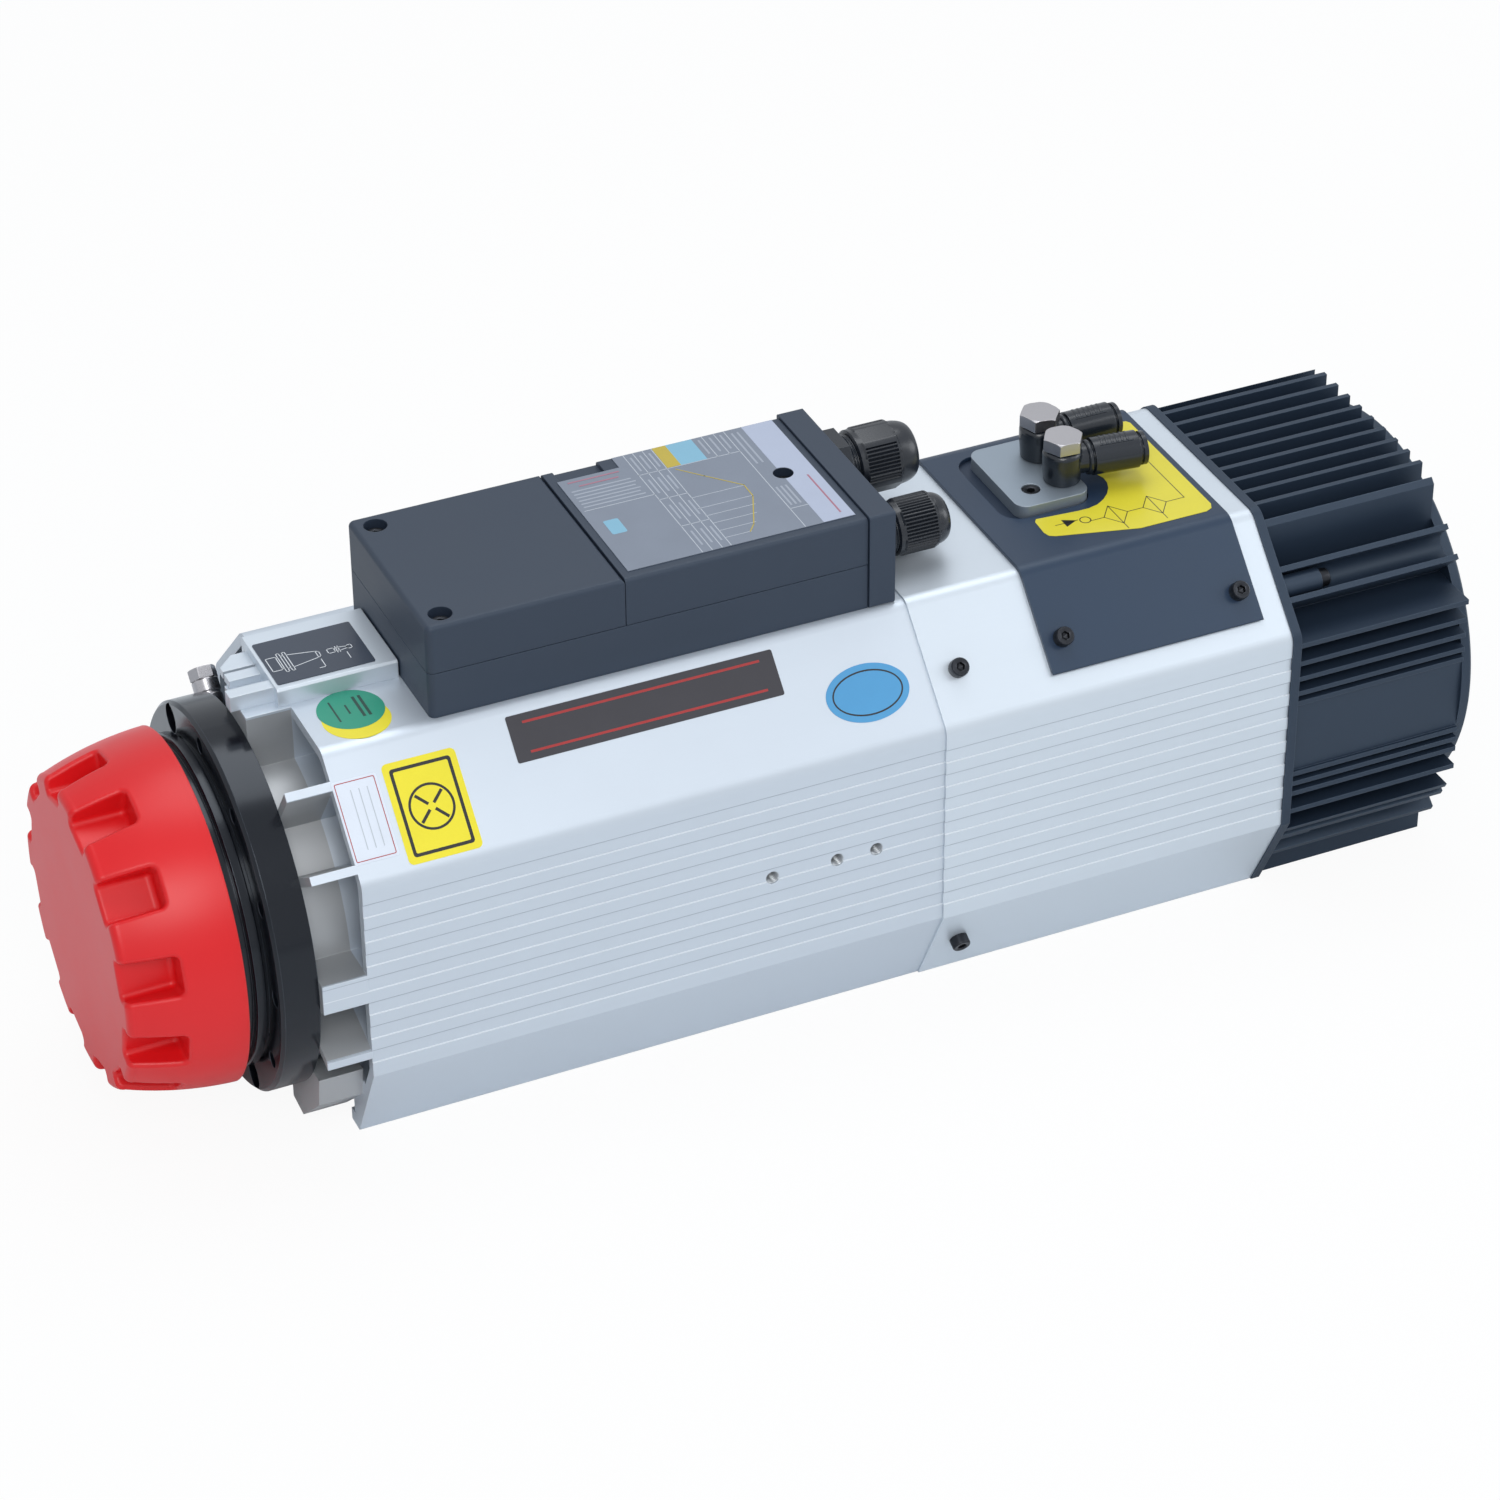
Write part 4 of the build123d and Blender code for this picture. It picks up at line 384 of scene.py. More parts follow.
# Finishes of the other pieces
machined = surface(
    "machined_aluminium", rgb(186, 190, 194), 0.34, metal=0.9, stretch=(1.0, 0.12, 1.0),
    grain=2.4, tint=0.07, bump=0.3, depth=0.02, edge=rgb(235, 236, 238),
)
blasted = surface(
    "blasted_plate", rgb(148, 159, 170), 0.5, metal=0.7, grain=3.0, tint=0.05, bump=0.35,
    depth=0.03, edge=rgb(215, 220, 226), rounding=0.5,
)
# Gloss black flange and collar: the light edge colour is a painted highlight along their edges
black_gloss = surface(
    "gloss_anodised_black", rgb(17, 19, 26), 0.2, metal=0.2, specular=0.4, coat=0.15,
    stretch=(1.0, 0.25, 0.25), grain=1.2, tint=0.05, patch=0.08, bump=0.08, depth=0.01,
    edge=rgb(156, 166, 180), edge_amount=0.8, edge_radius=0.35, tinge=(0.84, 0.92, 1.0),
)
black_satin = surface(
    "satin_black", rgb(36, 49, 66), 0.5, metal=0.2, specular=0.55, stretch=(0.1, 1.0, 1.0),
    grain=1.8, tint=0.08, patch=0.08, bump=0.25, depth=0.02, edge=rgb(104, 120, 140),
    edge_amount=0.55, tinge=(0.86, 0.95, 1.0),
)
cover_black = surface(
    "painted_sheet", rgb(36, 52, 74), 0.36, specular=0.5, grain=2.2, tint=0.04, patch=0.06,
    bump=0.2, depth=0.02, edge=rgb(90, 104, 124), edge_amount=0.4, rounding=0.6,
    tinge=(0.86, 0.95, 1.0),
)
slate = surface(
    "moulded_slate", rgb(42, 52, 68), 0.5, specular=0.5, grain=5.0, tint=0.10, patch=0.05,
    bump=0.6, depth=0.03, edge=rgb(96, 108, 126), edge_amount=0.35, rounding=0.5,
    tinge=(0.88, 0.96, 1.0),
)
nylon = surface(
    "gland_nylon", rgb(25, 31, 39), 0.25, specular=0.55, grain=3.0, tint=0.04, patch=0.05,
    bump=0.1, depth=0.01, edge=rgb(78, 90, 106), edge_amount=0.4, rounding=0.3,
)
ribbed_nylon = surface(
    "ribbed_nylon", rgb(23, 28, 36), 0.28, specular=0.6, grain=3.0, tint=0.04, patch=0.05,
    bump=0.1, depth=0.01, rounding=0.05,
)
# Red cap: its light edge colour is a painted highlight along the notch edges
red = surface(
    "red_cap", rgb(222, 24, 29), 0.36, specular=0.42, grain=4.0, tint=0.03, patch=0.04,
    bump=0.2, depth=0.02, edge=rgb(248, 112, 112), edge_amount=0.6, rounding=1.0,
    edge_radius=1.2,
)
steel = surface(
    "ground_steel", rgb(168, 170, 173), 0.26, metal=1.0, stretch=(1.0, 0.15, 0.15),
    grain=2.0, tint=0.06, bump=0.25, depth=0.01, edge=rgb(225, 226, 228),
)
nickel = surface(
    "nickel_plate", rgb(184, 182, 185), 0.3, metal=1.0, grain=1.5, tint=0.05, patch=0.06,
    bump=0.15, depth=0.01, edge=rgb(225, 222, 218), rounding=0.25,
)
polished = surface(
    "polished_steel", rgb(190, 192, 195), 0.1, metal=1.0, grain=1.0, tint=0.03, bump=0.05,
    depth=0.01,
)
oxide = surface(
    "black_oxide", rgb(44, 46, 51), 0.38, metal=0.75, specular=0.6, grain=4.0, tint=0.12,
    bump=0.3, depth=0.02, edge=rgb(128, 132, 140), edge_amount=0.6, rounding=0.15,
    edge_radius=0.25,
)
iron = surface(
    "laminated_iron", rgb(92, 94, 98), 0.5, metal=0.8, stretch=(4.0, 0.2, 0.2), grain=1.5,
    tint=0.12, bump=0.4, depth=0.03,
)
copper = surface(
    "varnished_copper", rgb(176, 84, 44), 0.35, metal=0.6, grain=0.9, tint=0.2,
    bump=0.7, depth=0.2, coat=0.4,
)
rubber = surface(
    "rubber", rgb(24, 25, 27), 0.7, specular=0.3, grain=4.0, tint=0.06, bump=0.4, depth=0.03,
)
grey_plastic = surface(
    "grey_plastic", rgb(168, 172, 168), 0.45, grain=3.0, tint=0.04, bump=0.2, depth=0.02,
)
finish = (
    (pocketed, ("front_housing",)),
    (aluminium, ("rear_housing", "sensor_block")),
    (machined, (
        "rear_bearing_carrier", "cylinder_body", "cylinder_cover", "piston", "sensor_bracket",
    )),
    (blasted, ("port_plate",)),
    (black_gloss, ("front_flange", "nose_collar")),
    (black_satin, ("rim_plate", "fan_housing", "rear_grille", "fan_frame", "fan_rotor")),
    (cover_black, ("cover_plate",)),
    (slate, ("box_base", "front_lid", "rear_lid", "end_plate")),
    (nylon, (
        "large_gland_body", "small_gland_body", "large_gland_nut", "small_gland_nut",
        "elbow_near", "elbow_far", "release_ring_near", "release_ring_far",
    )),
    (red, ("nose_cap",)),
    (steel, (
        "spindle_shaft", "drive_keys", "flinger", "front_bearing_sleeve", "bearing_spacer",
        "drawbar", "gripper", "tool_sensors", "disc_springs",
    )),
    (nickel, ("nose_plug", "banjo_bolts")),
    (polished, (
        "front_outer_rings", "front_inner_rings", "rear_outer_ring", "rear_inner_ring",
        "bearing_balls",
    )),
    (oxide, (
        "flange_screws", "housing_screws", "fan_screws", "grille_screws", "lid_screws",
        "cover_screws", "port_plate_screws", "lock_nut",
    )),
    (iron, ("stator_core", "rotor_core")),
    (copper, ("stator_windings",)),
    (rubber, ("piston_seal", "gland_seals")),
    (grey_plastic, ("terminal_block",)),
)
for material, names in finish:
    for name in names:
        for material_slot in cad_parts[name].material_slots:
            material_slot.link = "OBJECT"
            material_slot.material = material


# Mesh helpers
def loft(mesh, rings, close_start=True, close_end=True):
    """Skin over rings of points that have the same count."""
    loops = [[mesh.verts.new(point) for point in ring] for ring in rings]
    count = len(loops[0])
    for lower, upper in zip(loops, loops[1:]):
        for step in range(count):
            after = (step + 1) % count
            mesh.faces.new((lower[step], lower[after], upper[after], upper[step]))
    if close_start:
        mesh.faces.new(list(reversed(loops[0])))
    if close_end:
        mesh.faces.new(loops[-1])


def round_ring(frame_matrix, radius, height, count):
    """Ring of points; radius is a number or a function of the angle."""
    points = []
    for step in range(count):
        angle = 2 * pi * step / count
        reach = radius(angle) if callable(radius) else radius
        points.append(frame_matrix @ Vector((reach * cos(angle), reach * sin(angle), height)))
    return points


def hexagon(flats):
    """Radius of a hexagon over its angle."""
    return lambda angle: flats / 2 / cos((angle % (pi / 3)) - pi / 6)


def piece(name, mesh, material, body="housing", stands_for=(), angle=32.0):
    """Finishes a mesh in millimetres as an object that rides on a body."""
    bmesh.ops.remove_doubles(mesh, verts=mesh.verts, dist=1e-5)
    bmesh.ops.recalc_face_normals(mesh, faces=mesh.faces)
    data = bpy.data.meshes.new(name)
    bmesh.ops.scale(mesh, vec=(MM, MM, MM), verts=mesh.verts)
    mesh.to_mesh(data)
    mesh.free()
    data.materials.append(material)
    data.polygons.foreach_set("use_smooth", [True] * len(data.polygons))
    data.set_sharp_from_angle(angle=radians(angle))
    made = bpy.data.objects.new(name, data)
    bpy.context.scene.collection.objects.link(made)
    if stands_for:
        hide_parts(*stands_for)
    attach(made, body)


def facing(place, way, across):
    """Matrix at a place whose z axis points a way and whose x axis leans across."""
    z_axis = Vector(way).normalized()
    x_axis = (Vector(across) - Vector(across).dot(z_axis) * z_axis).normalized()
    y_axis = z_axis.cross(x_axis)
    return (
        Matrix.Translation(place) @ Matrix((x_axis, y_axis, z_axis)).transposed().to_4x4()
    )


def socket_screw(mesh, matrix, head, height, shank, length, flats, socket_depth):
    """Cap screw with a hexagon socket; the matrix sits under its head."""
    count = 48
    knurl = 0.12
    rim = 0.12 * head

    def knurled(angle):
        return head - knurl * (0.5 + 0.5 * cos(24 * angle))

    socket = hexagon(flats)
    loft(mesh, [
        round_ring(matrix, shank, -length, count),
        round_ring(matrix, shank, 0.0, count),
        round_ring(matrix, head - 0.1, 0.0, count),
        round_ring(matrix, knurled, 0.15, count),
        round_ring(matrix, knurled, height - 1.6 * rim, count),
        round_ring(matrix, head - 0.35 * rim, height - 0.7 * rim, count),
        round_ring(matrix, head - rim, height, count),
        round_ring(matrix, 0.60 * flats + 0.25, height, count),
        round_ring(matrix, socket, height - 0.2, count),
        round_ring(matrix, socket, height - socket_depth, count),
        round_ring(matrix, 0.2, height - socket_depth - 0.25 * flats, count),
    ])


def m4_screw(mesh, matrix, length):
    """M4 cap screw with a head of 7 mm and a socket of 3 mm."""
    socket_screw(mesh, matrix, 3.5, 4.0, 2.0, length, 3.0, 2.2)


def chamfer_point(x, down, lift=0.0, side=-1):
    """Point on an upper chamfer, a distance down it, with X from the housings' joint."""
    y = 40.8 + UPPER_OUT[1] * down + UPPER_OUT[0] * lift
    z = BODY_TOP - UPPER_OUT[0] * down + UPPER_OUT[1] * lift
    return Vector((JOINT + x, side * y, z))


def low_point(x, down, lift=0.0, side=-1):
    """Point on a lower chamfer, a distance down it."""
    y = 75.0 + LOWER_OUT[1] * down + LOWER_OUT[0] * lift
    z = 38.2 - LOWER_OUT[0] * down + LOWER_OUT[1] * lift
    return Vector((JOINT + x, side * y, z))


# Screws with sockets
screws = bmesh.new()
for side in (1, -1):
    upper = (0, side * UPPER_OUT[0], UPPER_OUT[1])
    lower = (0, side * LOWER_OUT[0], LOWER_OUT[1])
    m4_screw(screws, facing(chamfer_point(11.0, 28.0, 0.8, side), upper, (1, 0.2, 0)), 8.0)
    m4_screw(screws, facing(low_point(11.0, 20.4, 0.8, side), lower, (1, 0.3, 0)), 8.0)
piece("housing_cap_screws", screws, oxide, stands_for=("housing_screws",))

screws = bmesh.new()
for side in (1, -1):
    upper = (0, side * UPPER_OUT[0], UPPER_OUT[1])
    for x in (52.6, 124.3):
        m4_screw(screws, facing(chamfer_point(x, 27.0, 2.3, side), upper, (1, 0.5, 0)), 7.0)
piece("cover_cap_screws", screws, oxide, stands_for=("cover_screws",))

screws = bmesh.new()
for x, y in ((-172.0, 31.0), (-172.0, -31.0), (-28.0, 2.0)):
    socket_screw(
        screws, facing((JOINT + x, y, 186.0), (0, 0, 1), (1, 0.4, 0)),
        3.6, 3.0, 2.0, 20.0, 3.0, 2.0,
    )
piece("lid_cap_screws", screws, oxide, stands_for=("lid_screws",))

screws = bmesh.new()
m4_screw(screws, facing((JOINT + 70.7, -0.3, 156.7), (0, 0, 1), (1, 0.2, 0)), 8.0)
piece(
    "port_cap_screws", screws, oxide, stands_for=("port_plate_screws",)
)

# The rear housing, the rim plate, the fan housing and the disc follow one another
rear_face = JOINT + 140.5 + 3.5 + 71.5 + 4.5
GRILLE_CIRCLE, FAN_CIRCLE, FLANGE_CIRCLE = 63.5, 80.0, 56.0


def on_circle(x, radius, turned):
    """Place on a circle round the spindle's axis."""
    return (x, radius * cos(turned), AXIS_Z + radius * sin(turned))


screws = bmesh.new()
for step in range(4):
    angle = radians(45 + 90 * step)
    socket_screw(
        screws, facing(on_circle(rear_face, GRILLE_CIRCLE, angle), (1, 0, 0), (0, 1, 0.3)),
        2.8, 2.0, 1.5, 15.0, 2.0, 1.2,
    )
piece("grille_cap_screws", screws, oxide, stands_for=("grille_screws",))

screws = bmesh.new()
for angle in (44.0, 136.0, -40.0, -140.0):
    seat = on_circle(JOINT + 160.0, FAN_CIRCLE, radians(angle))
    m4_screw(screws, facing(seat, (1, 0, 0), (0, 1, 0.4)), 28.0)
piece("fan_cap_screws", screws, oxide, stands_for=("fan_screws",))

screws = bmesh.new()
for step in range(8):
    seat = on_circle(-127.75, FLANGE_CIRCLE, radians(22.5 + 45.0 * step))
    m4_screw(screws, facing(seat, (-1, 0, 0), (0, 1, 0)), 17.0)
piece("flange_cap_screws", screws, oxide, stands_for=("flange_screws",))


# Hexagon fittings
def hex_head(matrix, flats, foot, height, count=72):
    """Rings of a hexagon between two heights, its top corners turned off at 30 degrees."""
    shape = hexagon(flats)
    rings = [round_ring(matrix, shape, foot, count)]
    for depth in (0.45, 0.30, 0.15, 0.0):
        reach = 0.52 * flats + 1.73 * depth
        rings.append(
            round_ring(matrix, lambda angle: min(shape(angle), reach), height - depth, count)
        )
    return rings


BANJO_X, BANJO_HEAD, PORT_TOP = JOINT + 84.3, 174.6, 161.0
bolts = bmesh.new()
for y, turned in ((1.5, radians(-4.0)), (20.1, radians(-10.0))):
    matrix = facing((BANJO_X, y, BANJO_HEAD), (0, 0, 1), (cos(turned), sin(turned), 0))
    loft(
        bolts,
        [round_ring(matrix, 4.0, -27.8, 72), round_ring(matrix, 4.0, 0.0, 72)]
        + hex_head(matrix, 13.4, 0.0, 4.8),
    )
piece(
    "banjo_hex_bolts", bolts, nickel, stands_for=("banjo_bolts",), angle=20.0
)

plug = bmesh.new()
plug_way = Vector((0.0, cos(radians(45.0)), sin(radians(45.0))))
plug_foot, plug_collar = 59.05, 17.45
matrix = facing(
    Vector((-113.05, 0.0, AXIS_Z)) + plug_foot * plug_way, plug_way, (1.0, 0.0, 0.0)
)
loft(
    plug,
    [
        round_ring(matrix, radius, height, 72)
        for radius, height in (
            (3.4, -4.0), (3.4, 0.0), (4.9, 0.0), (4.9, 11.2), (4.5, 11.6), (4.5, 12.4),
            (4.9, 12.8), (4.9, plug_collar - 0.5), (4.4, plug_collar),
        )
    ] + hex_head(matrix, 9.0, plug_collar, plug_collar + 4.3),
)
piece("nose_air_plug", plug, nickel, stands_for=("nose_plug",), angle=20.0)


# Ridges and waist of the elbows
def elbow_trim(name, body, y, turn):
    """Grip ridges on top of the tube socket and a bead round its waist."""
    way = Vector((cos(radians(turn)), sin(radians(turn)), 0.0))
    across = Vector((-way.y, way.x, 0.0))
    foot = Vector((BANJO_X, y, PORT_TOP + 7.4))
    trim = bmesh.new()
    for step in range(6):
        place = 14.6 + 2.0 * step
        rings = []
        for part in range(13):
            angle = radians(-25.0 + 50.0 * part / 12)
            out = across * sin(angle) + Vector((0.0, 0.0, cos(angle)))
            lean = 0.06 * (part - 6)
            rings.append([
                foot + way * (place + lean + along) + out * reach
                for along, reach in ((-0.6, 6.9), (0.6, 6.9), (0.35, 7.22), (-0.35, 7.22))
            ])
        loft(trim, rings)
    rings = []
    for place in (13.4, 26.4):
        rings.append([])
        for angle, reach in ((-29.0, 6.9), (-29.0, 7.2), (-26.0, 7.2), (-26.0, 6.9)):
            out = across * sin(radians(angle)) + Vector((0.0, 0.0, cos(radians(angle))))
            rings[-1].append(foot + way * place + out * reach)
    loft(trim, rings)
    matrix = facing(foot, way, (0, 0, 1))
    loft(trim, [
        round_ring(matrix, radius, along, 72)
        for radius, along in (
            (5.4, 8.6), (6.1, 8.7), (6.5, 9.1), (6.6, 9.6), (6.5, 10.1), (6.1, 10.5), (5.4, 10.6),
        )
    ])
    piece(name, trim, nylon, body, angle=25.0)


elbow_trim("elbow_near_ridges", "elbow_near", 1.5, -7.0)
elbow_trim("elbow_far_ridges", "elbow_far", 20.1, 0.0)

# Threads in the tapped side holes
threads = bmesh.new()
for x in (-67.7, -42.3, -26.8):
    matrix = facing((JOINT + x, -74.55, 77.0), (0, -1, 0), (1, 0, 0))
    rings = []
    pitch = 1.0
    for step in range(10):
        rings.append(round_ring(matrix, 2.48, -step * pitch, 32))
        rings.append(round_ring(matrix, 2.15, -(step + 0.42) * pitch, 32))
        rings.append(round_ring(matrix, 2.15, -(step + 0.58) * pitch, 32))
    outer = [round_ring(matrix, 2.49, -9.9, 32), round_ring(matrix, 2.49, 0.0, 32)]
    loft(threads, outer + rings + outer[:1], False, False)
piece("side_hole_threads", threads, machined, angle=20.0)


# Cable glands
def gland_nut_shape(name, node, y, z, radius, neck, bore, dome, rib_count, smooth_faces):
    """Clamping nut with ribbed faces, some of them smooth, and a domed end."""
    start = PLATE_END + 9.5
    length = 17.0
    matrix = facing((start, y, z), (1, 0, 0), (0, 1, 0))
    count = rib_count * 6
    flat = radius * 0.955
    first_face = radians(102.0)

    def smooth(angle):
        """Six flats whose corners are turned off."""
        around = ((angle - first_face + pi / 6) % (pi / 3)) - pi / 6
        return min(flat / cos(around), radius)

    def body(angle):
        """The flats, with ribs on every second one or all round."""
        around = ((angle - first_face + pi / 3) % (2 * pi / 3)) - pi / 3
        if smooth_faces and abs(around) < 0.45 * pi / 3:
            return smooth(angle)
        return smooth(angle) - 0.8 * (0.5 - 0.5 * cos(rib_count * angle)) ** 1.5

    nut = bmesh.new()
    hole = bore + 1.6
    collar = radius - 0.55
    rings = [
        round_ring(matrix, collar - 0.7, 0.0, count),
        round_ring(matrix, collar, 0.5, count),
        round_ring(matrix, collar, 1.9, count),
        round_ring(matrix, lambda angle: smooth(angle) - 0.05, 2.6, count),
        round_ring(matrix, body, 2.9, count),
        round_ring(matrix, body, length - 2.2, count),
        round_ring(matrix, smooth, length - 1.9, count),
        round_ring(matrix, smooth, length - 1.2, count),
        round_ring(matrix, collar, length - 0.7, count),
    ]
    dome_radius = radius - 1.0
    reach = dome_radius - hole
    for step in range(0, 13):
        angle = pi / 2 * step / 13
        rings.append(round_ring(
            matrix, hole + reach * cos(angle), length - 0.5 + (dome + 0.5) * sin(angle), count
        ))
    rings.append(round_ring(matrix, hole, length + dome - 0.05, count))
    rings.append(round_ring(matrix, hole, length, count))
    rings.append(round_ring(matrix, neck + 0.45, length - 0.5, count))
    rings.append(round_ring(matrix, neck + 0.45, 0.0, count))
    rings.append(rings[0])
    loft(nut, rings, False, False)
    piece(name, nut, ribbed_nylon, stands_for=(node,), angle=24.0)


gland_nut_shape(
    "large_ribbed_nut", "large_gland_nut", 19.0, 178.0, 12.8, 10.4, 7.0, 7.0, 54, True
)
gland_nut_shape(
    "small_ribbed_nut", "small_gland_nut", -14.5, 169.1, 10.6, 8.6, 4.5, 4.5, 48, False
)

# Threads on the gland stubs
for name, slot, y, z, neck in (
    ("large_gland_thread", "large_gland_body", 19.0, 178.0, 10.4),
    ("small_gland_thread", "small_gland_body", -14.5, 169.1, 8.6),
):
    thread = bmesh.new()
    matrix = facing((PLATE_END + 6.5, y, z), (1, 0, 0), (0, 1, 0))
    rings = []
    for step in range(9):
        rings.append(round_ring(matrix, neck + 0.02, 0.05 + step * 1.1, 64))
        rings.append(round_ring(matrix, neck + 0.42, 0.05 + (step + 0.35) * 1.1, 64))
        rings.append(round_ring(matrix, neck + 0.42, 0.05 + (step + 0.6) * 1.1, 64))
    inner = [round_ring(matrix, neck - 0.2, 9.9, 64), round_ring(matrix, neck - 0.2, 0.05, 64)]
    loft(thread, rings + inner + rings[:1], False, False)
    piece(name, thread, nylon, angle=20.0)


# Labels
class Face:
    """Flat place on the object: origin, two directions along it and the way out."""

    def __init__(self, origin, across, along, out):
        self.origin = Vector(origin)
        self.across = Vector(across).normalized()
        self.along = Vector(along).normalized()
        self.out = Vector(out).normalized()

    def point(self, u, v, lift):
        """Point in the model at a place on the face."""
        return self.origin + u * self.across + v * self.along + lift * self.out


def rounded(u0, v0, u1, v1, radius, steps=6):
    """Rectangle with rounded corners."""
    points = []
    for cu, cv, start in (
        (u1 - radius, v1 - radius, 0), (u0 + radius, v1 - radius, 90),
        (u0 + radius, v0 + radius, 180), (u1 - radius, v0 + radius, 270),
    ):
        for step in range(steps + 1):
            angle = radians(start + 90.0 * step / steps)
            points.append((cu + radius * cos(angle), cv + radius * sin(angle)))
    return points


def disc(u, v, radius_u, radius_v=None, steps=64):
    """Circle or upright ellipse."""
    radius_v = radius_v or radius_u
    return [
        (u + radius_u * cos(2 * pi * step / steps), v + radius_v * sin(2 * pi * step / steps))
        for step in range(steps)
    ]


def sticker(name, face, outlines, low, high, material, slot="front_housing"):
    """Thin flat piece with holes, between two heights above a face."""
    curve = bpy.data.curves.new(name, "CURVE")
    curve.dimensions = "2D"
    curve.fill_mode = "BOTH"
    curve.extrude = (high - low) / 2
    for outline in outlines:
        spline = curve.splines.new("POLY")
        spline.points.add(len(outline) - 1)
        for point, (u, v) in zip(spline.points, outline):
            point.co = (u, v, 0.0, 1.0)
        spline.use_cyclic_u = True
    shape = bpy.data.objects.new(name + "_curve", curve)
    bpy.context.scene.collection.objects.link(shape)
    bpy.context.view_layer.update()
    flat = bpy.data.meshes.new_from_object(shape)
    bpy.data.objects.remove(shape)
    bpy.data.curves.remove(curve)
    mesh = bmesh.new()
    mesh.from_mesh(flat)
    bpy.data.meshes.remove(flat)
    for vertex in mesh.verts:
        u, v, w = vertex.co
        vertex.co = face.point(u, v, w + (low + high) / 2)
    piece(name, mesh, material, angle=20.0)


def stroke(points, width):
    """Closed outlines of the straight strokes along a line."""
    outlines = []
    for (u0, v0), (u1, v1) in zip(points, points[1:]):
        length = sqrt((u1 - u0) ** 2 + (v1 - v0) ** 2)
        du, dv = (u1 - u0) / length, (v1 - v0) / length
        half = width / 2
        u0, v0, u1, v1 = u0 - half * du, v0 - half * dv, u1 + half * du, v1 + half * dv
        outlines.append([
            (u0 - half * dv, v0 + half * du), (u0 + half * dv, v0 - half * du),
            (u1 + half * dv, v1 - half * du), (u1 - half * dv, v1 + half * du),
        ])
    return outlines


def strokes(name, face, lines, width, low, high, material, slot="front_housing"):
    """One piece of many thin strokes on a face."""
    mesh = bmesh.new()
    for line in lines:
        for outline in stroke(line, width):
            rings = [[face.point(u, v, low) for u, v in outline],
                     [face.point(u, v, high) for u, v in outline]]
            loft(mesh, rings)
    piece(name, mesh, material, angle=20.0)


def label_finish(name, colour, metal=0.0):
    """Printed film: smooth, slightly uneven, with worn edges."""
    return surface(
        name, colour, 0.35, metal=metal, grain=1.4, tint=0.03, patch=0.05, cloud=0.08,
        bump=0.12, depth=0.02, rounding=0.05, edge=shade(colour, 1.25), edge_radius=0.2,
        edge_amount=0.4, coat=0.15,
    )


ink_black = label_finish("ink_black", rgb(26, 27, 29))
ink_white = label_finish("ink_white", rgb(226, 229, 233))
ink_grey = label_finish("ink_grey", rgb(186, 192, 200))
ink_green = label_finish("ink_green", rgb(10, 62, 52))
ink_red = label_finish("ink_red", rgb(168, 44, 44))
ink_faint = label_finish("ink_faint", rgb(158, 165, 177))
ink_rose = label_finish("ink_rose", rgb(170, 112, 130))
film_yellow = label_finish("film_yellow", rgb(240, 224, 44))
film_ochre = label_finish("film_ochre", rgb(224, 210, 52))
film_green = label_finish("film_green", rgb(32, 150, 122))
film_blue = label_finish("film_blue", rgb(78, 154, 204))
film_dark = label_finish("film_dark", rgb(52, 50, 56))
film_white = label_finish("film_white", rgb(222, 228, 238))
plate_grey = label_finish("plate_grey", rgb(128, 136, 150), metal=0.3)
plate_dark = label_finish("plate_dark", rgb(50, 60, 76))
plate_pale = label_finish("plate_pale", rgb(176, 184, 204))
block_gold = label_finish("block_gold", rgb(190, 168, 52))
block_blue = label_finish("block_blue", rgb(128, 180, 204))

chamfer = Face(
    chamfer_point(0.0, 0.0), (1, 0, 0), (0, -UPPER_OUT[1], -UPPER_OUT[0]),
    (0, -UPPER_OUT[0], UPPER_OUT[1]),
)
top, block_top, lid_top, cover_top = (
    Face((JOINT, 0, level), (1, 0, 0), (0, 1, 0), (0, 0, 1))
    for level in (BODY_TOP, 162.0, 192.0, 157.3)
)

# Heights of films and of the print on them, above the face that carries them
FILM, PRINT = (0.02, 0.14), (0.14, 0.18)
PLATE_PRINT, PLATE_RAISED = (0.28, 0.31), (0.31, 0.34)

# Dark strip with two thin lines
sticker(
    "dark_strip", chamfer, [rounded(-155.0, 4.3, -54.0, 21.2, 0.8)], *FILM, film_dark
)
strokes(
    "dark_strip_lines", chamfer,
    [[(-149.0, 7.4), (-60.0, 7.4)], [(-149.0, 18.1), (-60.0, 18.1)]], 0.9, *PRINT, ink_red,
)

# Blue oval
sticker("blue_oval", chamfer, [disc(-24.0, 28.0, 16.0, 10.5)], *FILM, film_blue)
sticker(
    "blue_oval_ring", chamfer, [disc(-24.0, 28.0, 13.6, 8.2), disc(-24.0, 28.0, 13.0, 7.6)],
    0.14, 0.17, ink_black,
)

# Yellow label with a black frame and a four-pole sign
sticker(
    "yellow_label", chamfer, [rounded(-202.5, 9.7, -175.5, 45.8, 2.0)], *FILM, film_yellow
)
sticker(
    "yellow_label_frame", chamfer,
    [rounded(-200.2, 12.0, -177.8, 43.5, 1.2), rounded(-199.0, 13.2, -179.0, 42.3, 0.6)],
    *PRINT, ink_black,
)
poles = []
for step in range(4):
    angle = radians(45.0 + 90.0 * step)
    poles.append([
        (-189.0 + 2.0 * cos(angle), 27.7 + 2.0 * sin(angle)),
        (-189.0 + 6.4 * cos(angle), 27.7 + 6.4 * sin(angle)),
    ])
strokes("yellow_label_poles", chamfer, poles, 1.1, *PRINT, ink_black)
sticker(
    "yellow_label_ring", chamfer, [disc(-189.0, 27.7, 8.3), disc(-189.0, 27.7, 7.4)],
    *PRINT, ink_black,
)

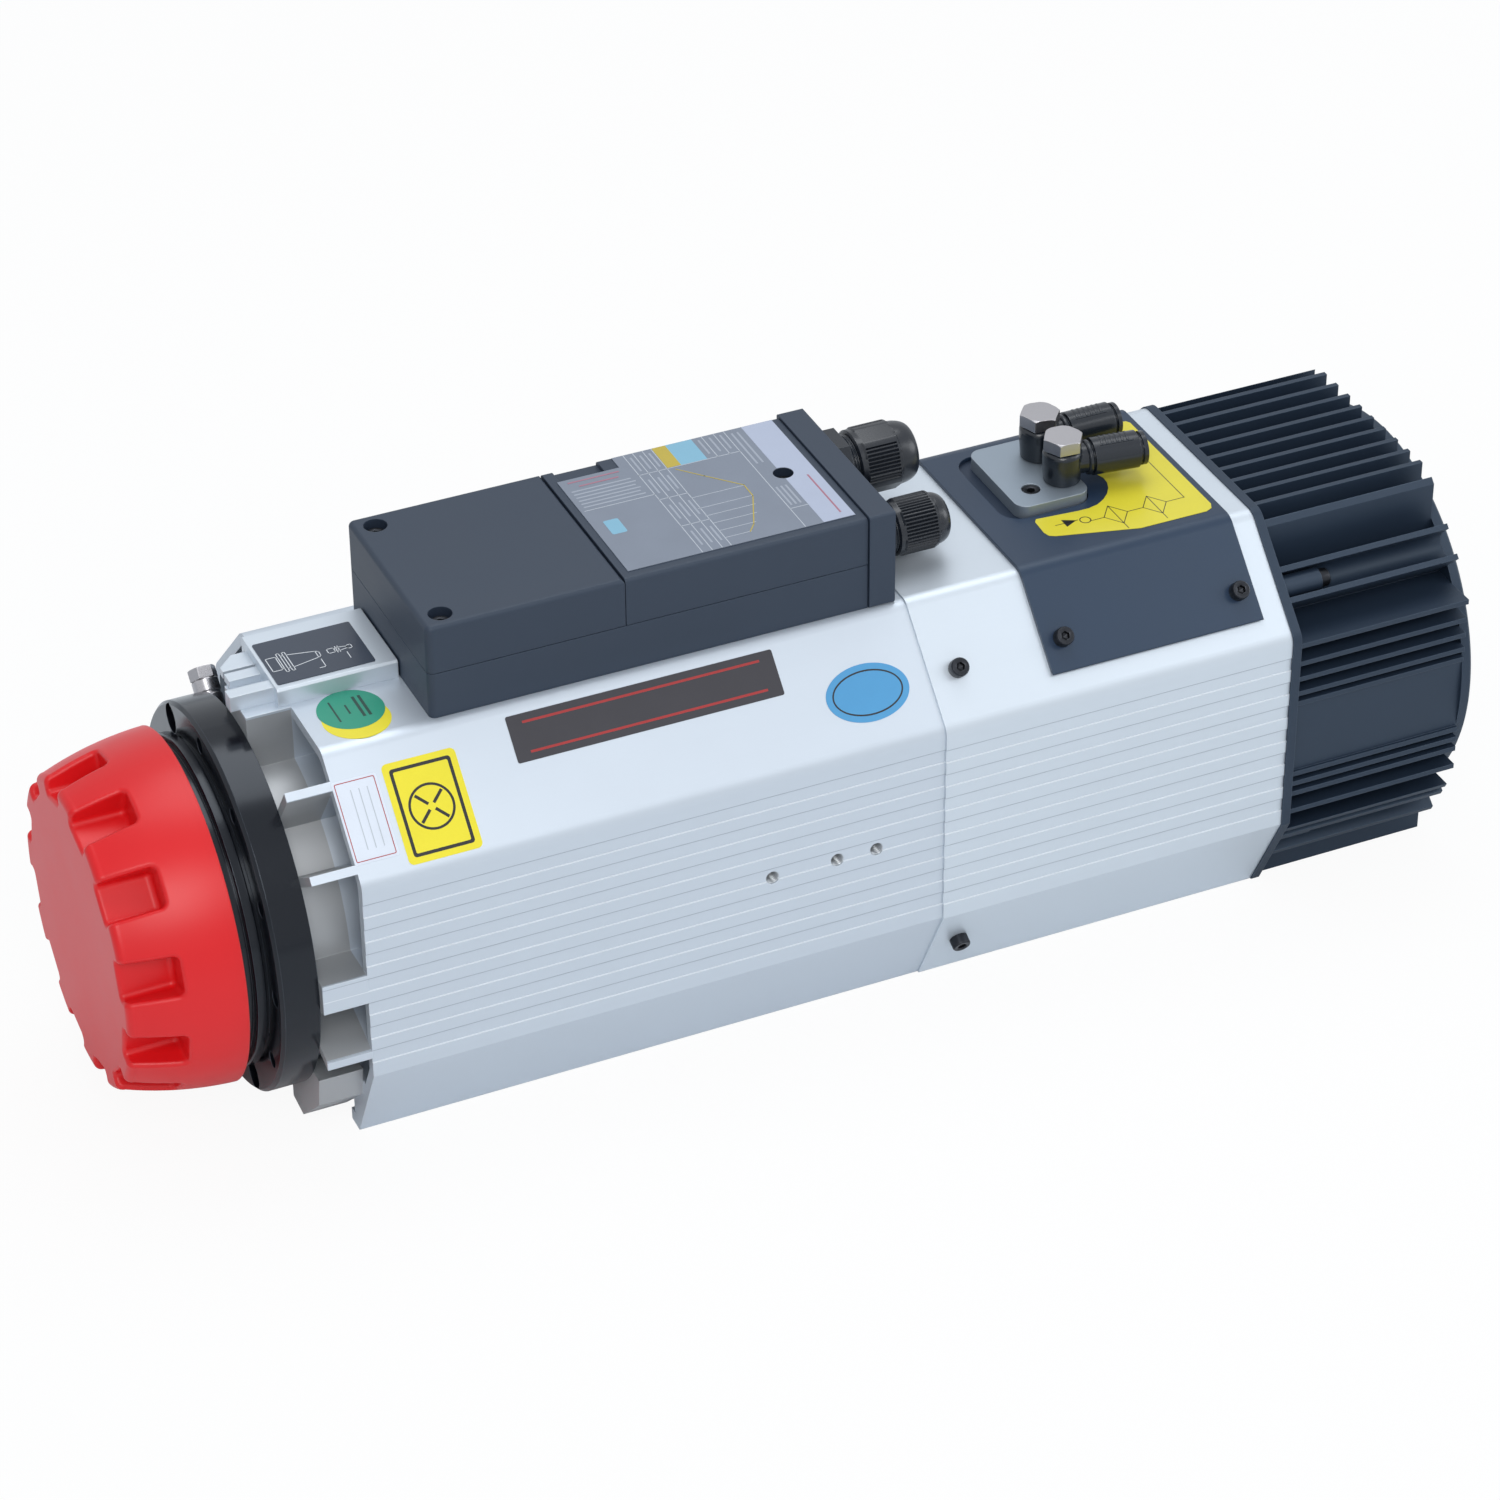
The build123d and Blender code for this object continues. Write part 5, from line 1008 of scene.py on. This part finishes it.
# White label with a thin border and plain lines
sticker(
    "white_label", chamfer, [rounded(-221.0, 11.4, -204.8, 41.0, 0.8)], 0.02, 0.12, film_white
)
sticker(
    "white_label_border", chamfer,
    [rounded(-220.2, 12.2, -205.6, 40.2, 0.6), rounded(-219.9, 12.5, -205.9, 39.9, 0.4)],
    0.12, 0.15, ink_red,
)
strokes(
    "white_label_lines", chamfer,
    [[(u, 15.5), (u, 36.5)] for u in (-209.0, -212.0, -215.0)], 0.35, 0.12, 0.15, ink_grey,
)

# Green disc over a yellow disc, with plain bars
sticker("yellow_disc", top, [disc(-203.0, -27.3, 12.1)], 0.02, 0.12, film_yellow)
sticker("green_disc", top, [disc(-202.9, -21.3, 11.9)], 0.12, 0.22, film_green)
strokes(
    "green_disc_bars", top,
    [[(-197.6, -14.8), (-197.6, -26.6)], [(-199.8, -14.8), (-199.8, -26.6)]],
    1.1, 0.22, 0.25, ink_green,
)
strokes(
    "green_disc_lines", top,
    [[(-203.9, -18.4), (-203.9, -23.4)], [(-208.6, -14.6), (-208.6, -26.8)]],
    0.7, 0.22, 0.25, ink_green,
)

# Tool drawing plate on the sensor block
sticker(
    "tool_plate", block_top, [rounded(-223.7, -6.6, -187.6, 20.6, 0.8)], 0.02, 0.30, plate_dark,
    slot="sensor_block",
)


def on_plate(u, v):
    """Place on the tool plate from its top left corner, 0 to 1 each way."""
    return (-223.7 + 36.1 * u, 20.6 - 27.2 * v)


drawing = [
    [(0.035, 0.39), (0.135, 0.39), (0.135, 0.70), (0.035, 0.70), (0.035, 0.39)],
    [(0.155, 0.33), (0.155, 0.77)], [(0.185, 0.33), (0.185, 0.77)],
    [(0.215, 0.33), (0.215, 0.77)], [(0.245, 0.33), (0.245, 0.77)],
    [(0.155, 0.33), (0.185, 0.33)], [(0.155, 0.77), (0.185, 0.77)],
    [(0.215, 0.33), (0.245, 0.33)], [(0.215, 0.77), (0.245, 0.77)],
    [(0.135, 0.42), (0.155, 0.42)], [(0.135, 0.68), (0.155, 0.68)],
    [(0.185, 0.40), (0.215, 0.40)], [(0.185, 0.70), (0.215, 0.70)],
    [(0.245, 0.40), (0.52, 0.475), (0.55, 0.50), (0.55, 0.60), (0.52, 0.625), (0.245, 0.70)],
    [(0.52, 0.475), (0.52, 0.625)], [(0.53, 0.68), (0.53, 0.86), (0.47, 0.86)],
    [(0.63, 0.50), (0.70, 0.50), (0.70, 0.60), (0.63, 0.60), (0.63, 0.50)],
    [(0.72, 0.48), (0.72, 0.62)], [(0.745, 0.48), (0.745, 0.62)],
    [(0.70, 0.52), (0.745, 0.52)], [(0.70, 0.58), (0.745, 0.58)],
    [(0.745, 0.51), (0.83, 0.53), (0.83, 0.57), (0.745, 0.59)],
    [(0.83, 0.51), (0.875, 0.51), (0.875, 0.59), (0.83, 0.59), (0.83, 0.51)],
    [(0.80, 0.66), (0.80, 0.80)],
]
strokes(
    "tool_plate_drawing", block_top, [[on_plate(u, v) for u, v in line] for line in drawing],
    0.32, 0.30, 0.34, ink_white, slot="sensor_block",
)

# Nameplate: bare table, graph and colour blocks, with a hole for the lid screw
PLATE_LEFT, PLATE_RIGHT, PLATE_NEAR, PLATE_FAR = -103.5, -16.5, -34.0, 37.0
PLATE_NOTCH = (-79.5, 30.0)
PLATE_HOLE, HOLE_RADIUS, BAND_LEFT = (-28.0, 2.0), 3.7, -28.75
sticker(
    "nameplate", lid_top,
    [
        [(PLATE_LEFT, PLATE_NEAR), (PLATE_RIGHT, PLATE_NEAR), (PLATE_RIGHT, PLATE_FAR),
         (PLATE_NOTCH[0], PLATE_FAR), PLATE_NOTCH, (PLATE_LEFT, PLATE_NOTCH[1])],
        disc(*PLATE_HOLE, HOLE_RADIUS),
    ],
    0.02, 0.28, plate_grey, slot="rear_lid",
)
arc = []
half_arc = pi / 2 + (PLATE_HOLE[0] - BAND_LEFT) / HOLE_RADIUS
for step in range(25):
    angle = half_arc * (1 - step / 12)
    arc.append((
        PLATE_HOLE[0] + (HOLE_RADIUS + 0.1) * cos(angle),
        PLATE_HOLE[1] + (HOLE_RADIUS + 0.1) * sin(angle),
    ))
sticker(
    "nameplate_band", lid_top,
    [
        [(BAND_LEFT, PLATE_NEAR + 0.1), (PLATE_RIGHT - 0.1, PLATE_NEAR + 0.1),
         (PLATE_RIGHT - 0.1, PLATE_FAR - 0.1), (BAND_LEFT, PLATE_FAR - 0.1)] + arc,
    ],
    *PLATE_PRINT, plate_pale, slot="rear_lid",
)
sticker(
    "nameplate_gold", lid_top, [[(-64.0, 22.4), (-58.7, 22.4), (-58.7, 36.9), (-64.0, 36.9)]],
    *PLATE_PRINT, block_gold, slot="rear_lid",
)
sticker(
    "nameplate_blue", lid_top,
    [
        [(-58.7, 22.2), (-48.5, 22.2), (-48.5, 36.9), (-58.7, 36.9)],
        rounded(-99.0, -10.3, -93.3, -0.8, 0.8),
    ],
    *PLATE_PRINT, block_blue, slot="rear_lid",
)
columns = (-75.2, -71.5, -67.7, -64.3)
table = [[(u, 36.7), (u, -33.7)] for u in columns + (-35.8,)]
table += [[(u, 36.7), (u, 22.0)] for u in (-44.5, -39.8)]
table += [
    [(-75.2, 22.0), (-35.8, 22.0)], [(-75.2, 4.0), (-64.4, 4.0)],
    [(-75.2, -15.2), (-64.4, -15.2)], [(-102.0, 8.0), (-75.2, 8.0)],
    [(-36.0, -20.8), (-28.9, -20.8)],
]
strokes("nameplate_table", lid_top, table, 0.32, *PLATE_PRINT, ink_grey, slot="rear_lid")
graph = [
    [(left, v), (end, v)]
    for left, v, end in (
        (-64.3, 0.3, -44.2), (-65.0, -7.2, -43.8), (-64.6, -12.7, -45.6), (-64.0, -18.1, -47.5),
        (-64.1, -23.5, -50.3), (-63.9, -28.5, -54.1),
    )
]
strokes("nameplate_graph", lid_top, graph, 0.26, *PLATE_PRINT, ink_grey, slot="rear_lid")
strokes(
    "nameplate_curve", lid_top,
    [[(-61.6, 20.4), (-54.3, 12.0), (-44.0, 0.5), (-44.1, -7.5), (-51.5, -24.6), (-54.6, -28.5)]],
    0.4, *PLATE_RAISED, block_gold, slot="rear_lid",
)
cells = [
    [(-101.0, 21.6 - 2.24 * step), (-79.0 + step % 2, 21.6 - 2.24 * step)] for step in range(6)
]
for u in (-73.3, -69.6, -66.0):
    cells += [[(u, v + 4.6), (u, v - 4.6)] for v in (29.4, 13.0, -5.6, -24.4)]
cells += [[(u, 34.8), (u, 25.4)] for u in (-46.4, -42.1, -37.9)]
cells += [[(u, 34.0), (u, 12.0)] for u in (-33.6, -31.4)]
cells += [[(u, -6.0), (u, -18.4)] for u in (-34.2, -32.4, -30.6)]
strokes("nameplate_lines", lid_top, cells, 0.75, *PLATE_PRINT, ink_faint, slot="rear_lid")
strokes(
    "nameplate_red_lines", lid_top,
    [[(-97.0, 24.3), (-82.5, 24.3)], [(-100.0, 27.6), (-81.0, 27.6)],
     [(-20.6, -3.0), (-20.6, -30.0)]],
    0.7, *PLATE_RAISED, ink_rose, slot="rear_lid",
)

# Yellow label on the cover plate, cut round the port plate
hollow = [
    (100.1, 4.0), (101.2, 0.5), (100.9, -3.0), (99.6, -6.4), (97.3, -9.8), (94.2, -12.8),
    (90.6, -15.0), (86.6, -16.0), (82.2, -16.0),
]
sticker(
    "cover_label", cover_top,
    [
        [(65.5, -14.6), (64.4, -16.2), (64.0, -24.0), (64.8, -26.6), (67.0, -27.8), (97.3, -35.9),
         (124.6, -35.9), (127.2, -34.6), (128.4, -32.0), (128.6, 31.0), (127.6, 32.6),
         (125.6, 33.0), (103.0, 33.0), (101.0, 32.0), (100.2, 30.0)] + hollow
    ],
    0.02, 0.16, film_ochre, slot="cover_plate",
)
scheme = [
    [(70.0, -21.5), (79.0, -21.5)],
    [(83.2, -24.0), (88.6, -24.0)],
    [(88.6, -24.0), (93.4, -17.6), (98.2, -24.0), (93.4, -30.4), (88.6, -24.0)],
    [(93.4, -17.6), (93.4, -30.4)],
    [(98.2, -24.0), (104.6, -24.0)],
    [(104.6, -24.0), (109.4, -17.6), (114.2, -24.0), (109.4, -30.4), (104.6, -24.0)],
    [(109.4, -17.6), (109.4, -30.4)],
    [(114.2, -24.0), (121.6, -24.0), (121.6, 22.0)],
    [(93.4, -30.4), (93.4, -34.0)], [(109.4, -30.4), (109.4, -34.0)],
]
strokes("cover_label_scheme", cover_top, scheme, 0.3, 0.16, 0.2, ink_black, slot="cover_plate")
sticker(
    "cover_label_marks", cover_top,
    [
        [(73.5, -24.0), (73.5, -19.0), (78.5, -21.5)],
        disc(81.6, -22.6, 2.2), disc(81.6, -22.6, 1.8),
    ],
    0.16, 0.2, ink_black, slot="cover_plate",
)
